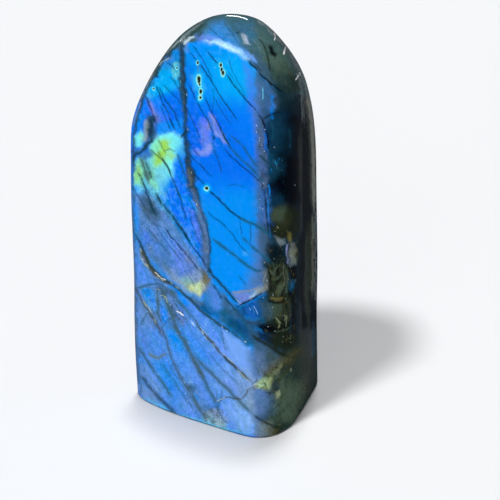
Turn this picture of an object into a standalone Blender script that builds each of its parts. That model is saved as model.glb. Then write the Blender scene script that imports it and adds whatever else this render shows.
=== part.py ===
"""A polished freeform of labradorite that stands on its flat saw-cut base.

The stone is one piece. It is worked the way a lapidary works it: a block is sawn by flat planes,
one for each ground face, the edges between the faces are rounded, and the foot is cut flat.
Metres, +Z up. The origin is under the middle of the stone's box, on the cut. The broad front face
looks along -Y.
"""

import math

import bmesh
import bpy
from mathutils import Vector, noise

MM = 0.001

# Driving dimensions
HEIGHT = 120 * MM
WIDTH = 51.5 * MM
DEPTH = 43 * MM
HEART_HEIGHT = 60 * MM
ROUGH_BLOCK = 300 * MM
MESH_STEP = 2.3 * MM
EDGE_SOFTNESS = 1.15 * MM
FOOT_CHAMFER = 0.6 * MM
HAND_WAVINESS = 0.35 * MM
WAVE_LENGTH = 26 * MM

# Each ground face: the way it looks, in degrees round from the front towards the right and in
# degrees above the horizon, and its distance from the stone's heart in millimetres.
GROUND_FACES = {
    "front_left": (-13, 2.0, 20.8),
    "front": (0, 2.0, 18.8),
    "front_corner": (42, 2.0, 27.1),
    "right_corner": (74, 1.2, 27.8),
    "right_side": (100, 0.8, 24.1),
    "back_right": (138, 1.2, 27.8),
    "back": (178, 3.0, 18.6),
    "back_left": (-135, 3.0, 26.4),
    "left_side": (-92, 0.0, 25.2),
    "left_corner": (-50, -0.7, 30.1),
    "left_shoulder": (-66, 26, 38.6),
    "left_flank": (-76, 42, 46.8),
    "left_crown": (-94, 61, 55.3),
    "back_left_shoulder": (-138, 30, 39.0),
    "back_shoulder": (178, 24, 34.5),
    "back_flank": (-172, 48, 49.0),
    "back_crown": (-150, 72, 59.7),
    "right_crown": (158, 62, 58.1),
    "right_upper": (132, 46, 49.8),
    "right_flank": (124, 34, 43.0),
    "right_shoulder": (118, 14, 31.9),
    "corner_shoulder": (66, 28, 44.8),
    "front_crown": (4, 47, 54.4),
    "corner_crown": (40, 62, 60.4),
    "top": (60, 84, 61.4),
}


def direction(azimuth, lean):
    """The unit vector that a ground face looks along."""
    turn, rise = math.radians(azimuth), math.radians(lean)
    return Vector((math.sin(turn) * math.cos(rise), -math.cos(turn) * math.cos(rise), math.sin(rise)))


def ground_planes():
    """(normal, distance from the heart) of every ground face, in metres."""
    return [(direction(azimuth, lean), reach * MM) for azimuth, lean, reach in GROUND_FACES.values()]


def sawn_block(heart, planes):
    """A block cut down by one flat plane for each ground face, sharp-edged and longer than the stone."""
    block = bmesh.new()
    bmesh.ops.create_cube(block, size=ROUGH_BLOCK)
    for vertex in block.verts:
        vertex.co += heart
    for normal, reach in planes:
        cut = bmesh.ops.bisect_plane(
            block,
            geom=block.verts[:] + block.edges[:] + block.faces[:],
            plane_co=heart + normal * reach,
            plane_no=normal,
            clear_outer=True,
        )
        edges = [part for part in cut["geom_cut"] if isinstance(part, bmesh.types.BMEdge)]
        bmesh.ops.contextual_create(block, geom=edges)
    foot = bmesh.ops.bisect_plane(
        block,
        geom=block.verts[:] + block.edges[:] + block.faces[:],
        plane_co=(0, 0, -4 * MESH_STEP),
        plane_no=(0, 0, -1),
        clear_outer=True,
    )
    bmesh.ops.contextual_create(
        block, geom=[part for part in foot["geom_cut"] if isinstance(part, bmesh.types.BMEdge)]
    )
    bmesh.ops.recalc_face_normals(block, faces=block.faces[:])
    return block


def even_mesh(block):
    """The block's surface remade as an even net of small squares."""
    mesh = bpy.data.meshes.new("block")
    block.to_mesh(mesh)
    block.free()
    carrier = bpy.data.objects.new("block", mesh)
    bpy.context.scene.collection.objects.link(carrier)
    remesh = carrier.modifiers.new("even net", "REMESH")
    remesh.mode = "VOXEL"
    remesh.voxel_size = MESH_STEP
    graph = bpy.context.evaluated_depsgraph_get()
    net = bmesh.new()
    net.from_mesh(bpy.data.meshes.new_from_object(carrier.evaluated_get(graph)))
    bpy.data.objects.remove(carrier)
    return net


def depth_outside(point, heart, planes):
    """How far a point is outside the rounded stone, and the way out, blending the faces over their edges."""
    gaps = [(normal.dot(point - heart) - reach) / EDGE_SOFTNESS for normal, reach in planes]
    most = max(gaps)
    weights = [math.exp(gap - most) for gap in gaps]
    total = sum(weights)
    outwards = sum((normal * weight for (normal, _), weight in zip(planes, weights)), Vector()) / total
    return EDGE_SOFTNESS * (most + math.log(total)), outwards


def round_the_edges(net, heart, planes):
    """Each point of the net goes to the rounded surface, then a little in or out, as hand polishing leaves it."""
    for vertex in net.verts:
        for _ in range(6):
            gap, outwards = depth_outside(vertex.co, heart, planes)
            vertex.co -= outwards * (gap / outwards.length_squared)
        wave = noise.noise(vertex.co / WAVE_LENGTH)
        vertex.co += outwards.normalized() * (wave * HAND_WAVINESS)


def cut_the_foot(net):
    """The flat cut that the stone stands on, with its sharp rim taken off."""
    cut = bmesh.ops.bisect_plane(
        net,
        geom=net.verts[:] + net.edges[:] + net.faces[:],
        dist=0.25 * MM,
        plane_co=(0, 0, FOOT_CHAMFER),
        plane_no=(0, 0, -1),
        clear_outer=True,
    )
    rim = [part for part in cut["geom_cut"] if isinstance(part, bmesh.types.BMEdge)]
    for vertex in {vertex for edge in rim for vertex in edge.verts}:
        vertex.co.z = FOOT_CHAMFER
    drawn = bmesh.ops.extrude_edge_only(net, edges=rim)["geom"]
    lower = [part for part in drawn if isinstance(part, bmesh.types.BMVert)]
    middle = sum((vertex.co for vertex in lower), Vector()) / len(lower)
    for vertex in lower:
        inwards = (middle - vertex.co).normalized()
        vertex.co += inwards * FOOT_CHAMFER
        vertex.co.z = 0
    bmesh.ops.contextual_create(net, geom=[part for part in drawn if isinstance(part, bmesh.types.BMEdge)])
    bmesh.ops.recalc_face_normals(net, faces=net.faces[:])


def bring_to_size(net):
    """Puts the middle of the stone's box over the origin and gives the stone its three sizes."""
    low = [min(vertex.co[axis] for vertex in net.verts) for axis in range(3)]
    high = [max(vertex.co[axis] for vertex in net.verts) for axis in range(3)]
    sizes = (WIDTH, DEPTH, HEIGHT)
    middle = Vector(((low[0] + high[0]) / 2, (low[1] + high[1]) / 2, 0))
    for vertex in net.verts:
        out = vertex.co - middle
        vertex.co = [out[axis] * sizes[axis] / (high[axis] - low[axis]) for axis in range(3)]


def stone_material():
    """Dark grey-blue polished feldspar."""
    material = bpy.data.materials.new("polished labradorite")
    material.use_nodes = True
    shader = material.node_tree.nodes["Principled BSDF"]
    shader.inputs["Base Color"].default_value = (0.03, 0.16, 0.42, 1)
    shader.inputs["Roughness"].default_value = 0.12
    shader.inputs["Metallic"].default_value = 0.0
    return material


def make_stone():
    heart = Vector((0, 0, HEART_HEIGHT))
    planes = ground_planes()
    net = even_mesh(sawn_block(heart, planes))
    round_the_edges(net, heart, planes)
    cut_the_foot(net)
    bring_to_size(net)
    mesh = bpy.data.meshes.new("labradorite_freeform")
    net.to_mesh(mesh)
    net.free()
    mesh.shade_smooth()
    mesh.set_sharp_from_angle(angle=math.radians(50))
    mesh.materials.append(stone_material())
    stone = bpy.data.objects.new("labradorite_freeform", mesh)
    bpy.context.scene.collection.objects.link(stone)
    return stone


for old in list(bpy.data.objects):
    bpy.data.objects.remove(old)
make_stone()
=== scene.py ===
"""The looks of a polished labradorite freeform: the dressed stone, a pale floor, studio light, a camera.

The markings are laid on the surface as the camera sees it: soft coats of colour, bands, fine veins,
glints and small pits, each drawn by an outline or a route in pixels of the camera's picture. The
sides that the camera doesn't see carry a pattern that fills the stone, in millimetres.
"""

import math

import bmesh
import bpy
import numpy as np
from mathutils import Matrix, Quaternion, Vector
from mathutils.bvhtree import BVHTree


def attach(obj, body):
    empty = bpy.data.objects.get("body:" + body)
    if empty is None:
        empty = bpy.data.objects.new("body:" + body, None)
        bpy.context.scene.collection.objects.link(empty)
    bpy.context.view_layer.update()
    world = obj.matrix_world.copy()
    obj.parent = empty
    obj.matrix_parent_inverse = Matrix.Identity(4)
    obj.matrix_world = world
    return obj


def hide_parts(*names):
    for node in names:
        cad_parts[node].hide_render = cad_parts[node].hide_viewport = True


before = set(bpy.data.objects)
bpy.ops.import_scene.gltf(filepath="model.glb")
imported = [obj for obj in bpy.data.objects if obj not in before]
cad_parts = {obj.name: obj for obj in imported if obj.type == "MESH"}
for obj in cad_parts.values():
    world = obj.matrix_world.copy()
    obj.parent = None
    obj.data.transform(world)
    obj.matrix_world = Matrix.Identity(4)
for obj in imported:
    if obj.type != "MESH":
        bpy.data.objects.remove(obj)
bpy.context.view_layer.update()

MM = 0.001
STONE_NODE = "labradorite_freeform"

# The camera's place, in degrees and metres, and the picture it takes, in pixels
VIEW_AZIMUTH = 30.0
VIEW_ELEVATION = 24.0
VIEW_DISTANCE = 0.42
AIM = Vector((0, 0, 0.06))
AIM_PIXEL = (231.3, 213.2)
FRAME_PIXELS = 500
FOCAL_PIXELS = 1434.0
SENSOR_MM = 36.0
NEAR_CLIP = 0.01

# The solid's surface, merged and rounded
MERGE_DISTANCE = 0.02 * MM
FLAT_ANGLE = 25
SQUARE_ANGLE = 60
CREASE_ANGLE = 40
ROUND_LEVELS = 3

# Where its net is made closer: how squarely a face looks at the camera, how much the colour changes
# over it, how near a vein is in pixels, and how near a pit is
SIDE_IN_VIEW = -0.02
MARKS_IN_VIEW = 0.05
COLOUR_CONTRAST = 0.11
CONTRAST_GAMMA = 0.45
VEIN_REACH = 1.0
PIT_MESH_REACH = 1.5 * MM

# How the markings fade where the surface turns away from the camera
SHOWN_FROM = -0.05
SHOWN_FULLY = 0.03

# Pits: depth, the part of a pit's size where its wall starts and ends, and the share that means far off
PIT_DEPTH = 0.45 * MM
PIT_WALL = (-1.3, -0.3)
PIT_FAR = 30
PIT_HIDDEN = 40

# How noise makes drawn lines uneven: size of its lumps and reach of its push in pixels, and a seed
COARSE_WAVER = (5, 1.4, 1)
FINE_WAVER = (2.2, 0.7, 3)
VEIN_WAVER = (3, 0.5, 5)
PIT_WAVER = (2, 0.5, 7)
CHARACTER_WAVER = (6, 2, 21)
WAVER_MARGIN = 4
LATTICE = 64

# Veins: the layers that hold them, the distance in pixels that one is kept to and where it fades, the
# share of its length over which an end tapers, and how thin the end gets
VEIN_LAYERS = 3
VEIN_MARGIN = 9
VEIN_FADE = (-8, -4.5)
VEIN_TAPER = (-0.01, 0.16)
VEIN_END = 0.4
NO_VEIN = (30.0, 0, 1)

# A vein's soft shade and its edge in the material: part of its half width, and pixels added
VEIN_SHADE = (2.6, 0.4)
VEIN_SHADE_STRENGTH = 0.4
VEIN_EDGE = (0.6, 0.2)
VEIN_EDGE_INSIDE = -0.8
VEIN_SHAKE_REACH = 1.1
PIT_SHAKE = 0.7

# The fine layers that the mineral is built of: the way they run down the front, and across it
LAYER_RUN = (0.545, 0.12, -0.83)
LAYER_RISE = (0.8, 0.25, 0.545)
LAYER_THIRD = (-0.2, 0.96, -0.13)
LAYER_STRETCH = 7

# Noise in the stone: size in millimetres, detail, roughness, and distortion where there is any
LUMPS = (9, 6, 0.62)
ZONES = (34, 3, 0.5, 0.6)
ZONE_STREAKS = (3.5, 5, 0.6)
SOFT_BLUES = (4, 4, 0.6)
CLEAVAGE = (7, 2, 0.5)
BROAD_STREAKS = (1.6, 3, 0.6)
FINE_STREAKS = (0.5, 3, 0.6)
PATCHES = (1.5, 4, 0.65, 0.5)
GRAIN = (0.4, 3, 0.7)
THREADS = (1.9, 2, 0.5, 0.2)
DARK_FLECKS = (1.9, 5, 0.7, 0.4)
GOLD_FLECKS = (1.5, 5, 0.7, 0.3)
VEIN_SHAKE = (0.7, 3, 0.6)
VEIN_BREAKS = (2.6, 2, 0.5)
ZONES_SHIFT = (40, 7, -90)
GOLD_SHIFT = (31, 5, 17)
SPARKS_PER_MM = 1.5

# The polish
POLISH_ROUGHNESS = 0.06
POLISH_SPECULAR = 0.2

# The floor, metres from its middle to its edge, and what is left of it and of the world in reflections
FLOOR_REACH = 6
FLOOR_COLOUR = (0.70, 0.71, 0.725)
FLOOR_IN_GLOSS = 0.05
WORLD_COLOUR = (0.985, 0.99, 1, 1)
WORLD_LIGHT = 0.06
WORLD_SHOWN = 0.93
WORLD_IN_GLOSS = 0.035

# Far lights: name, azimuth round from the front, elevation, strength, softness in degrees
FAR_LIGHTS = (
    ("key", -17, 61.5, 2.25, 8),
    ("back_light", 196, 80.5, 1.3, 7),
    ("top_light", 212, 85, 0.52, 4),
    ("fill", 15, 6, 1.1, 60),
)
FAR_LIGHT_DISTANCE = 1.5

# Strip lights that only show as reflections: name, azimuth, elevation and turn in degrees, metres
# away, width and height in metres, watts
STRIPS = (
    ("crown_strip", -152.5, 17.5, -53, 0.9, 0.176, 0.014, 0.14),
    ("shoulder_strip", -70, 26, 0, 0.9, 0.03, 0.2, 1.0),
    ("window", -20, 56, 0, 0.9, 0.3, 0.3, 2.4),
)

# Colours of the stone in sRGB, as they show in even white light
PALETTE = {
    "azure": (2, 142, 244),
    "cyan blue": (4, 176, 250),
    "electric blue": (2, 120, 246),
    "deep electric": (2, 106, 238),
    "ice cyan": (128, 246, 244),
    "pale cyan": (108, 208, 238),
    "spring green": (138, 232, 170),
    "gold green": (156, 216, 80),
    "pale gold": (178, 192, 150),
    "old gold": (128, 120, 66),
    "lilac": (126, 132, 228),
    "pale lilac": (160, 168, 226),
    "violet blue": (74, 122, 236),
    "cornflower": (80, 144, 232),
    "haze blue": (116, 166, 242),
    "steel blue": (92, 136, 194),
    "slate blue": (84, 116, 164),
    "slate": (64, 98, 130),
    "teal": (24, 92, 126),
    "soft teal": (48, 98, 130),
    "dark teal": (22, 62, 80),
    "navy": (8, 34, 60),
    "ink": (1, 3, 12),
    "olive": (66, 72, 46),
    "dark olive": (32, 40, 24),
    "moss": (66, 88, 72),
    "grey green": (58, 94, 104),
    "dull green": (38, 62, 60),
    "tan": (142, 146, 136),
    "silver": (150, 168, 174),
    "frost": (214, 238, 250),
    "deep azure": (14, 98, 190),
    "dome blue": (50, 122, 186),
    "blue lilac": (98, 138, 240),
    "pale moss": (96, 118, 98),
    "deep green": (18, 40, 42),
    "blue black": (4, 14, 24),
    "grey brown": (92, 92, 86),
    "white": (250, 252, 255),
    "cream": (204, 224, 152),
    "milk blue": (146, 204, 250),
}

# Coats of colour, one over the other: tone, strength, softness of the edge in pixels, outline.
# The broad flash, and the stone left of the seam
FIELD = (
    ("cyan blue", 0.75, 13, ((208, 60), (236, 56), (252, 66), (254, 92), (240, 102), (216, 94))),
    ("electric blue", 0.9, 15, ((120, 102), (280, 106), (280, 190), (200, 186), (120, 180))),
    ("deep electric", 0.65, 12, ((186, 105), (222, 112), (250, 150), (254, 186), (186, 176))),
    ("deep electric", 0.6, 6, ((187, 66), (196, 70), (200, 110), (206, 140), (200, 150), (188, 150))),
    ("cyan blue", 0.5, 5, ((194, 74), (203, 74), (204, 88), (196, 90))),
    ("violet blue", 0.6, 4, ((244, 62), (250, 68), (256, 86), (256, 116), (249, 112), (246, 84))),
    ("violet blue", 0.5, 4, ((252, 116), (258, 118), (262, 160), (256, 158))),
    ("slate blue", 0.7, 4, ((254, 100), (262, 96), (266, 124), (264, 160), (258, 150), (254, 122))),
    ("slate blue", 0.55, 7, ((257, 176), (270, 176), (270, 240), (260, 240), (256, 210))),
    ("slate blue", 0.85, 9, ((256, 234), (274, 236), (274, 288), (246, 292), (250, 276), (255, 260))),
    ("ice cyan", 0.3, 4, ((192, 76), (202, 76), (203, 90), (194, 90))),
    ("electric blue", 0.5, 8, ((199, 174), (220, 174), (220, 198), (202, 200))),
    ("slate", 0.25, 4, ((248, 158), (260, 158), (260, 174), (250, 174))),
    ("pale cyan", 0.25, 2, ((242, 250), (247, 251), (248, 255), (243, 255))),
    # left of the seam, above the flash
    ("cyan blue", 0.85, 6, ((156, 70), (178, 62), (180, 86), (168, 92), (154, 88))),
    ("cyan blue", 0.9, 3, ((146, 88), (154, 82), (164, 86), (172, 94), (166, 98), (156, 94),
        (148, 98))),
    ("cyan blue", 0.6, 1.5, ((152, 83), (158, 84), (168, 91), (172, 95), (164, 92), (154, 87))),
    ("electric blue", 0.85, 5, ((138, 96), (148, 98), (156, 110), (146, 126), (134, 132), (134, 112))),
    ("azure", 0.8, 2, ((134, 116), (138, 112), (143, 118), (140, 130), (134, 132))),
    ("violet blue", 0.7, 4, ((150, 102), (156, 108), (168, 120), (174, 130), (164, 132), (156, 124))),
    ("lilac", 0.75, 2, ((147, 99), (151, 102), (156, 114), (160, 124), (156, 125), (152, 115),
        (148, 107))),
    ("pale lilac", 0.5, 1, ((149, 102), (151, 103), (155, 113), (153.6, 114))),
    ("deep electric", 0.7, 4, ((160, 96), (182, 88), (183, 128), (174, 130), (168, 112))),
    ("dull green", 0.85, 2.6, ((155, 66), (161, 56), (170, 46), (182, 36), (184, 42), (182, 47),
        (174, 51), (166, 57), (160, 66), (155, 74), (150, 82), (147, 86), (150, 76))),
    ("steel blue", 0.6, 1.5, ((164, 59), (170, 55), (172, 58), (166, 62))),
    ("ink", 0.8, 1.3, ((154, 73), (157.4, 71), (158.4, 77), (155, 79))),
    ("dome blue", 0.45, 5, ((160, 58), (180, 50), (180, 68), (164, 72))),
    ("spring green", 0.55, 2, ((174, 63), (178.4, 62), (179, 72), (178, 79), (174, 78), (173, 72))),
)

# The rainbow flash at the left, and the dark pocket beside it
FLASH = (
    ("ice cyan", 1.0, 4.5, ((152, 140), (160, 133), (172, 132), (181, 136), (184, 146), (182, 156),
        (176, 164), (172, 176), (164, 186), (154, 176), (152, 156))),
    ("azure", 0.8, 4, ((175, 138), (183, 141), (185, 148), (182, 158), (175, 160))),
    ("ice cyan", 0.7, 3, ((170, 134), (178, 136), (181, 144), (176, 152), (170, 148))),
    ("electric blue", 0.9, 3, ((174, 162), (182, 154), (186, 164), (190, 196), (182, 194), (176, 182))),
    ("spring green", 0.8, 5, ((153, 144), (160, 138), (170, 150), (167, 162), (162, 178), (150, 182),
        (148, 166))),
    ("gold green", 0.95, 3, ((159, 141), (165, 138), (169, 141), (170, 148), (165, 154), (161, 162),
        (155, 163), (155, 155), (160, 149))),
    ("gold green", 0.6, 2, ((167, 153), (172, 151), (176, 155), (173, 160), (168, 158))),
    ("gold green", 0.3, 3, ((152, 160), (160, 160), (160, 168), (152, 170))),
    ("pale cyan", 0.85, 5, ((134, 160), (144, 156), (152, 168), (160, 180), (166, 196), (158, 200),
        (146, 192), (136, 194))),
    ("spring green", 0.8, 3, ((135, 162), (140, 158), (145, 172), (142, 186), (134, 184))),
    ("spring green", 0.7, 4, ((148, 172), (160, 168), (163, 184), (156, 192), (148, 184))),
    ("gold green", 0.5, 2.2, ((135, 167), (139, 165), (141.5, 176), (138, 182), (135, 179))),
    ("pale cyan", 0.85, 4, ((155, 168), (163, 164), (169, 170), (168, 184), (160, 189), (154, 180))),
    ("moss", 0.7, 2.5, ((140, 157), (146, 158), (152, 172), (149, 184), (144, 176))),
    ("slate", 0.5, 2.5, ((138, 155), (148, 149), (156, 154), (150, 158), (142, 160))),
    ("ice cyan", 0.9, 3.5, ((135, 135), (142, 132), (144.5, 138), (141, 146), (136, 149), (134, 142))),
    ("spring green", 0.5, 2, ((140, 134), (144, 133), (145, 140), (141, 143))),
    ("electric blue", 0.85, 2, ((134, 149), (140, 146), (143, 147), (138, 151), (133, 154))),
    ("ice cyan", 0.6, 1.3, ((153, 189), (156, 190), (161, 199), (159, 200))),
    ("azure", 0.6, 4, ((160, 186), (168, 176), (174, 188), (179, 206), (171, 201))),
    ("azure", 0.85, 2.2, ((156, 122), (183, 120), (183, 132), (177, 131), (166, 131.5), (159, 134.5))),
    ("ice cyan", 0.35, 3, ((140, 160), (152, 159), (153, 172), (142, 173))),
    ("pale cyan", 0.3, 3, ((142, 90), (150, 88), (152, 98), (144, 98))),
    # the dark pocket beside it
    ("slate", 0.8, 3, ((146, 114), (156, 116), (157, 138), (150, 146), (138, 154), (132, 161),
        (132, 153), (144, 145), (146, 132))),
    ("silver", 0.75, 1.5, ((144.8, 120), (148, 119), (149, 130), (147, 139), (143, 141), (145, 129))),
    ("olive", 0.5, 1.2, ((147, 122), (149, 121), (149.4, 134), (147, 138))),
    ("dark teal", 0.75, 1.7, ((148, 113), (153, 117), (155, 130), (153.5, 138), (150, 142),
        (148.6, 134))),
    ("ink", 0.5, 1.2, ((149.5, 118), (152, 120), (152.5, 132), (151, 137), (149.4, 134))),
    ("dark teal", 0.95, 1.6, ((150, 139), (153.6, 141), (146, 150), (138, 155), (133, 163), (132, 157),
        (140, 150))),
)

# Violet patches in the broad flash
VIOLETS = (
    ("blue lilac", 0.6, 3, ((197, 124), (204, 117), (210, 122), (211, 138), (213, 146), (206, 152),
        (200, 140))),
    ("pale lilac", 0.55, 1.5, ((209, 112), (214, 117), (220, 129), (228, 142), (224, 143), (215, 134),
        (210, 122))),
    ("violet blue", 0.6, 1, ((213, 118), (217, 122), (224, 136), (222, 138), (216, 130))),
    ("lilac", 0.35, 2, ((199, 128), (206, 120), (209, 130), (208, 140), (203, 146))),
    ("pale lilac", 0.55, 2.6, ((196, 150), (204, 149), (210, 143), (213, 150), (208, 154), (198, 155))),
    ("lilac", 0.3, 2, ((188, 150), (198, 149), (198, 155), (190, 153))),
    ("tan", 0.5, 1.2, ((206, 124), (209, 125), (209, 131), (206.6, 131))),
    ("dark teal", 0.85, 1, ((212.6, 136), (215.6, 136), (215.6, 139.4), (212.6, 139))),
    ("deep electric", 0.6, 2, ((188, 116), (194, 118), (200, 128), (200, 146), (190, 146))),
)

# The grey-blue lens at the left, down to its golden foot
LENS = (
    ("steel blue", 0.9, 5, ((132, 196), (146, 192), (160, 200), (176, 226), (196, 256), (206, 272),
        (204, 292), (190, 288), (170, 280), (150, 258), (138, 236), (132, 224))),
    ("cornflower", 0.6, 4, ((164, 192), (178, 194), (196, 226), (206, 250), (204, 262), (184, 238),
        (170, 212))),
    ("slate", 0.85, 5, ((140, 196), (153, 198), (162, 212), (158, 226), (146, 220))),
    ("dark teal", 0.6, 4, ((148, 201), (154, 202), (156, 213), (150, 214))),
    ("olive", 0.35, 3, ((141, 204), (148, 206), (148, 216), (142, 212))),
    ("slate blue", 0.75, 5, ((142, 232), (156, 234), (170, 254), (172, 274), (158, 268), (148, 250))),
    ("blue lilac", 0.6, 6, ((168, 240), (180, 244), (196, 264), (196, 280), (180, 282), (168, 262))),
    ("dome blue", 0.45, 6, ((148, 238), (164, 240), (176, 262), (176, 276), (160, 266))),
    ("cornflower", 0.6, 4, ((160, 228), (170, 232), (178, 246), (172, 252), (162, 240))),
    ("tan", 0.35, 3, ((183, 252), (188, 253), (193, 262), (188, 264))),
    ("azure", 0.85, 3, ((132, 198), (137, 204), (140, 222), (137, 232), (133, 222))),
    ("electric blue", 0.9, 2.5, ((170, 178), (178, 186), (184, 206), (190, 226), (186, 228),
        (178, 210), (170, 194))),
    ("electric blue", 0.8, 2, ((166, 190), (171, 193), (180, 210), (184, 222), (180, 223), (170, 206))),
    ("azure", 0.6, 1.6, ((160, 197), (163, 199), (176, 220), (196, 248), (193, 248), (174, 224),
        (161, 204))),
    ("electric blue", 0.7, 2.5, ((186, 200), (192, 204), (200, 224), (203, 246), (200, 258),
        (192, 238), (187, 218))),
    ("lilac", 0.35, 2.5, ((189, 210), (194, 210), (200, 230), (199, 242), (194, 230))),
    ("slate", 0.75, 2.5, ((196, 212), (203, 220), (208, 240), (208, 262), (203, 266), (201, 244))),
    ("slate blue", 0.3, 4, ((184, 266), (194, 268), (202, 270), (198, 280), (186, 278))),
    ("cornflower", 0.95, 3, ((133, 256), (140, 258), (150, 272), (157, 284), (148, 288), (136, 286))),
    ("azure", 0.4, 3, ((140, 262), (146, 270), (150, 282), (142, 282))),
    ("pale lilac", 0.4, 2, ((133, 244), (137, 246), (139, 256), (134, 256))),
    ("cyan blue", 0.45, 2.5, ((153, 193), (160, 195), (166, 205), (160, 204))),
    ("milk blue", 0.28, 3, ((152, 194), (165, 196), (166, 208), (155, 208))),
    ("azure", 0.6, 3, ((154, 194), (166, 198), (168, 210), (158, 208))),
    ("cornflower", 0.5, 4, ((152, 243), (164, 244), (165, 256), (154, 256))),
    ("electric blue", 0.4, 4, ((140, 230), (151, 232), (152, 245), (142, 244))),
    ("slate blue", 0.5, 3, ((188, 255), (199, 256), (200, 268), (190, 268))),
    ("silver", 0.3, 4, ((164, 268), (176, 268), (178, 281), (168, 281))),
    ("silver", 0.4, 3, ((172, 277), (188, 280), (188, 292), (178, 290))),
    ("olive", 0.35, 3, ((200, 278), (210, 279), (212, 291), (202, 292))),
    ("tan", 0.75, 3, ((200, 277), (210, 278), (212, 291), (202, 293))),
    # gold at the lens's foot
    ("silver", 0.45, 5, ((174, 280), (184, 277), (200, 268), (208, 274), (207, 286), (198, 294),
        (184, 290))),
    ("spring green", 0.3, 4, ((180, 278), (188, 278), (196, 286), (188, 290))),
    ("pale gold", 0.7, 3.5, ((186, 284), (194, 283), (203, 281), (204, 287), (200, 295), (191, 292))),
    ("pale cyan", 0.25, 3, ((190, 286), (197, 284), (200, 288), (196, 293))),
    ("cream", 0.75, 2, ((187, 287), (192, 285), (199, 284), (201, 289), (199, 296), (192, 292))),
    ("olive", 0.75, 2.2, ((202, 268), (207, 271), (210, 280), (207, 287), (202, 279))),
    ("old gold", 0.5, 1.6, ((204, 272), (208, 277), (209, 283), (205, 283))),
)

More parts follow.
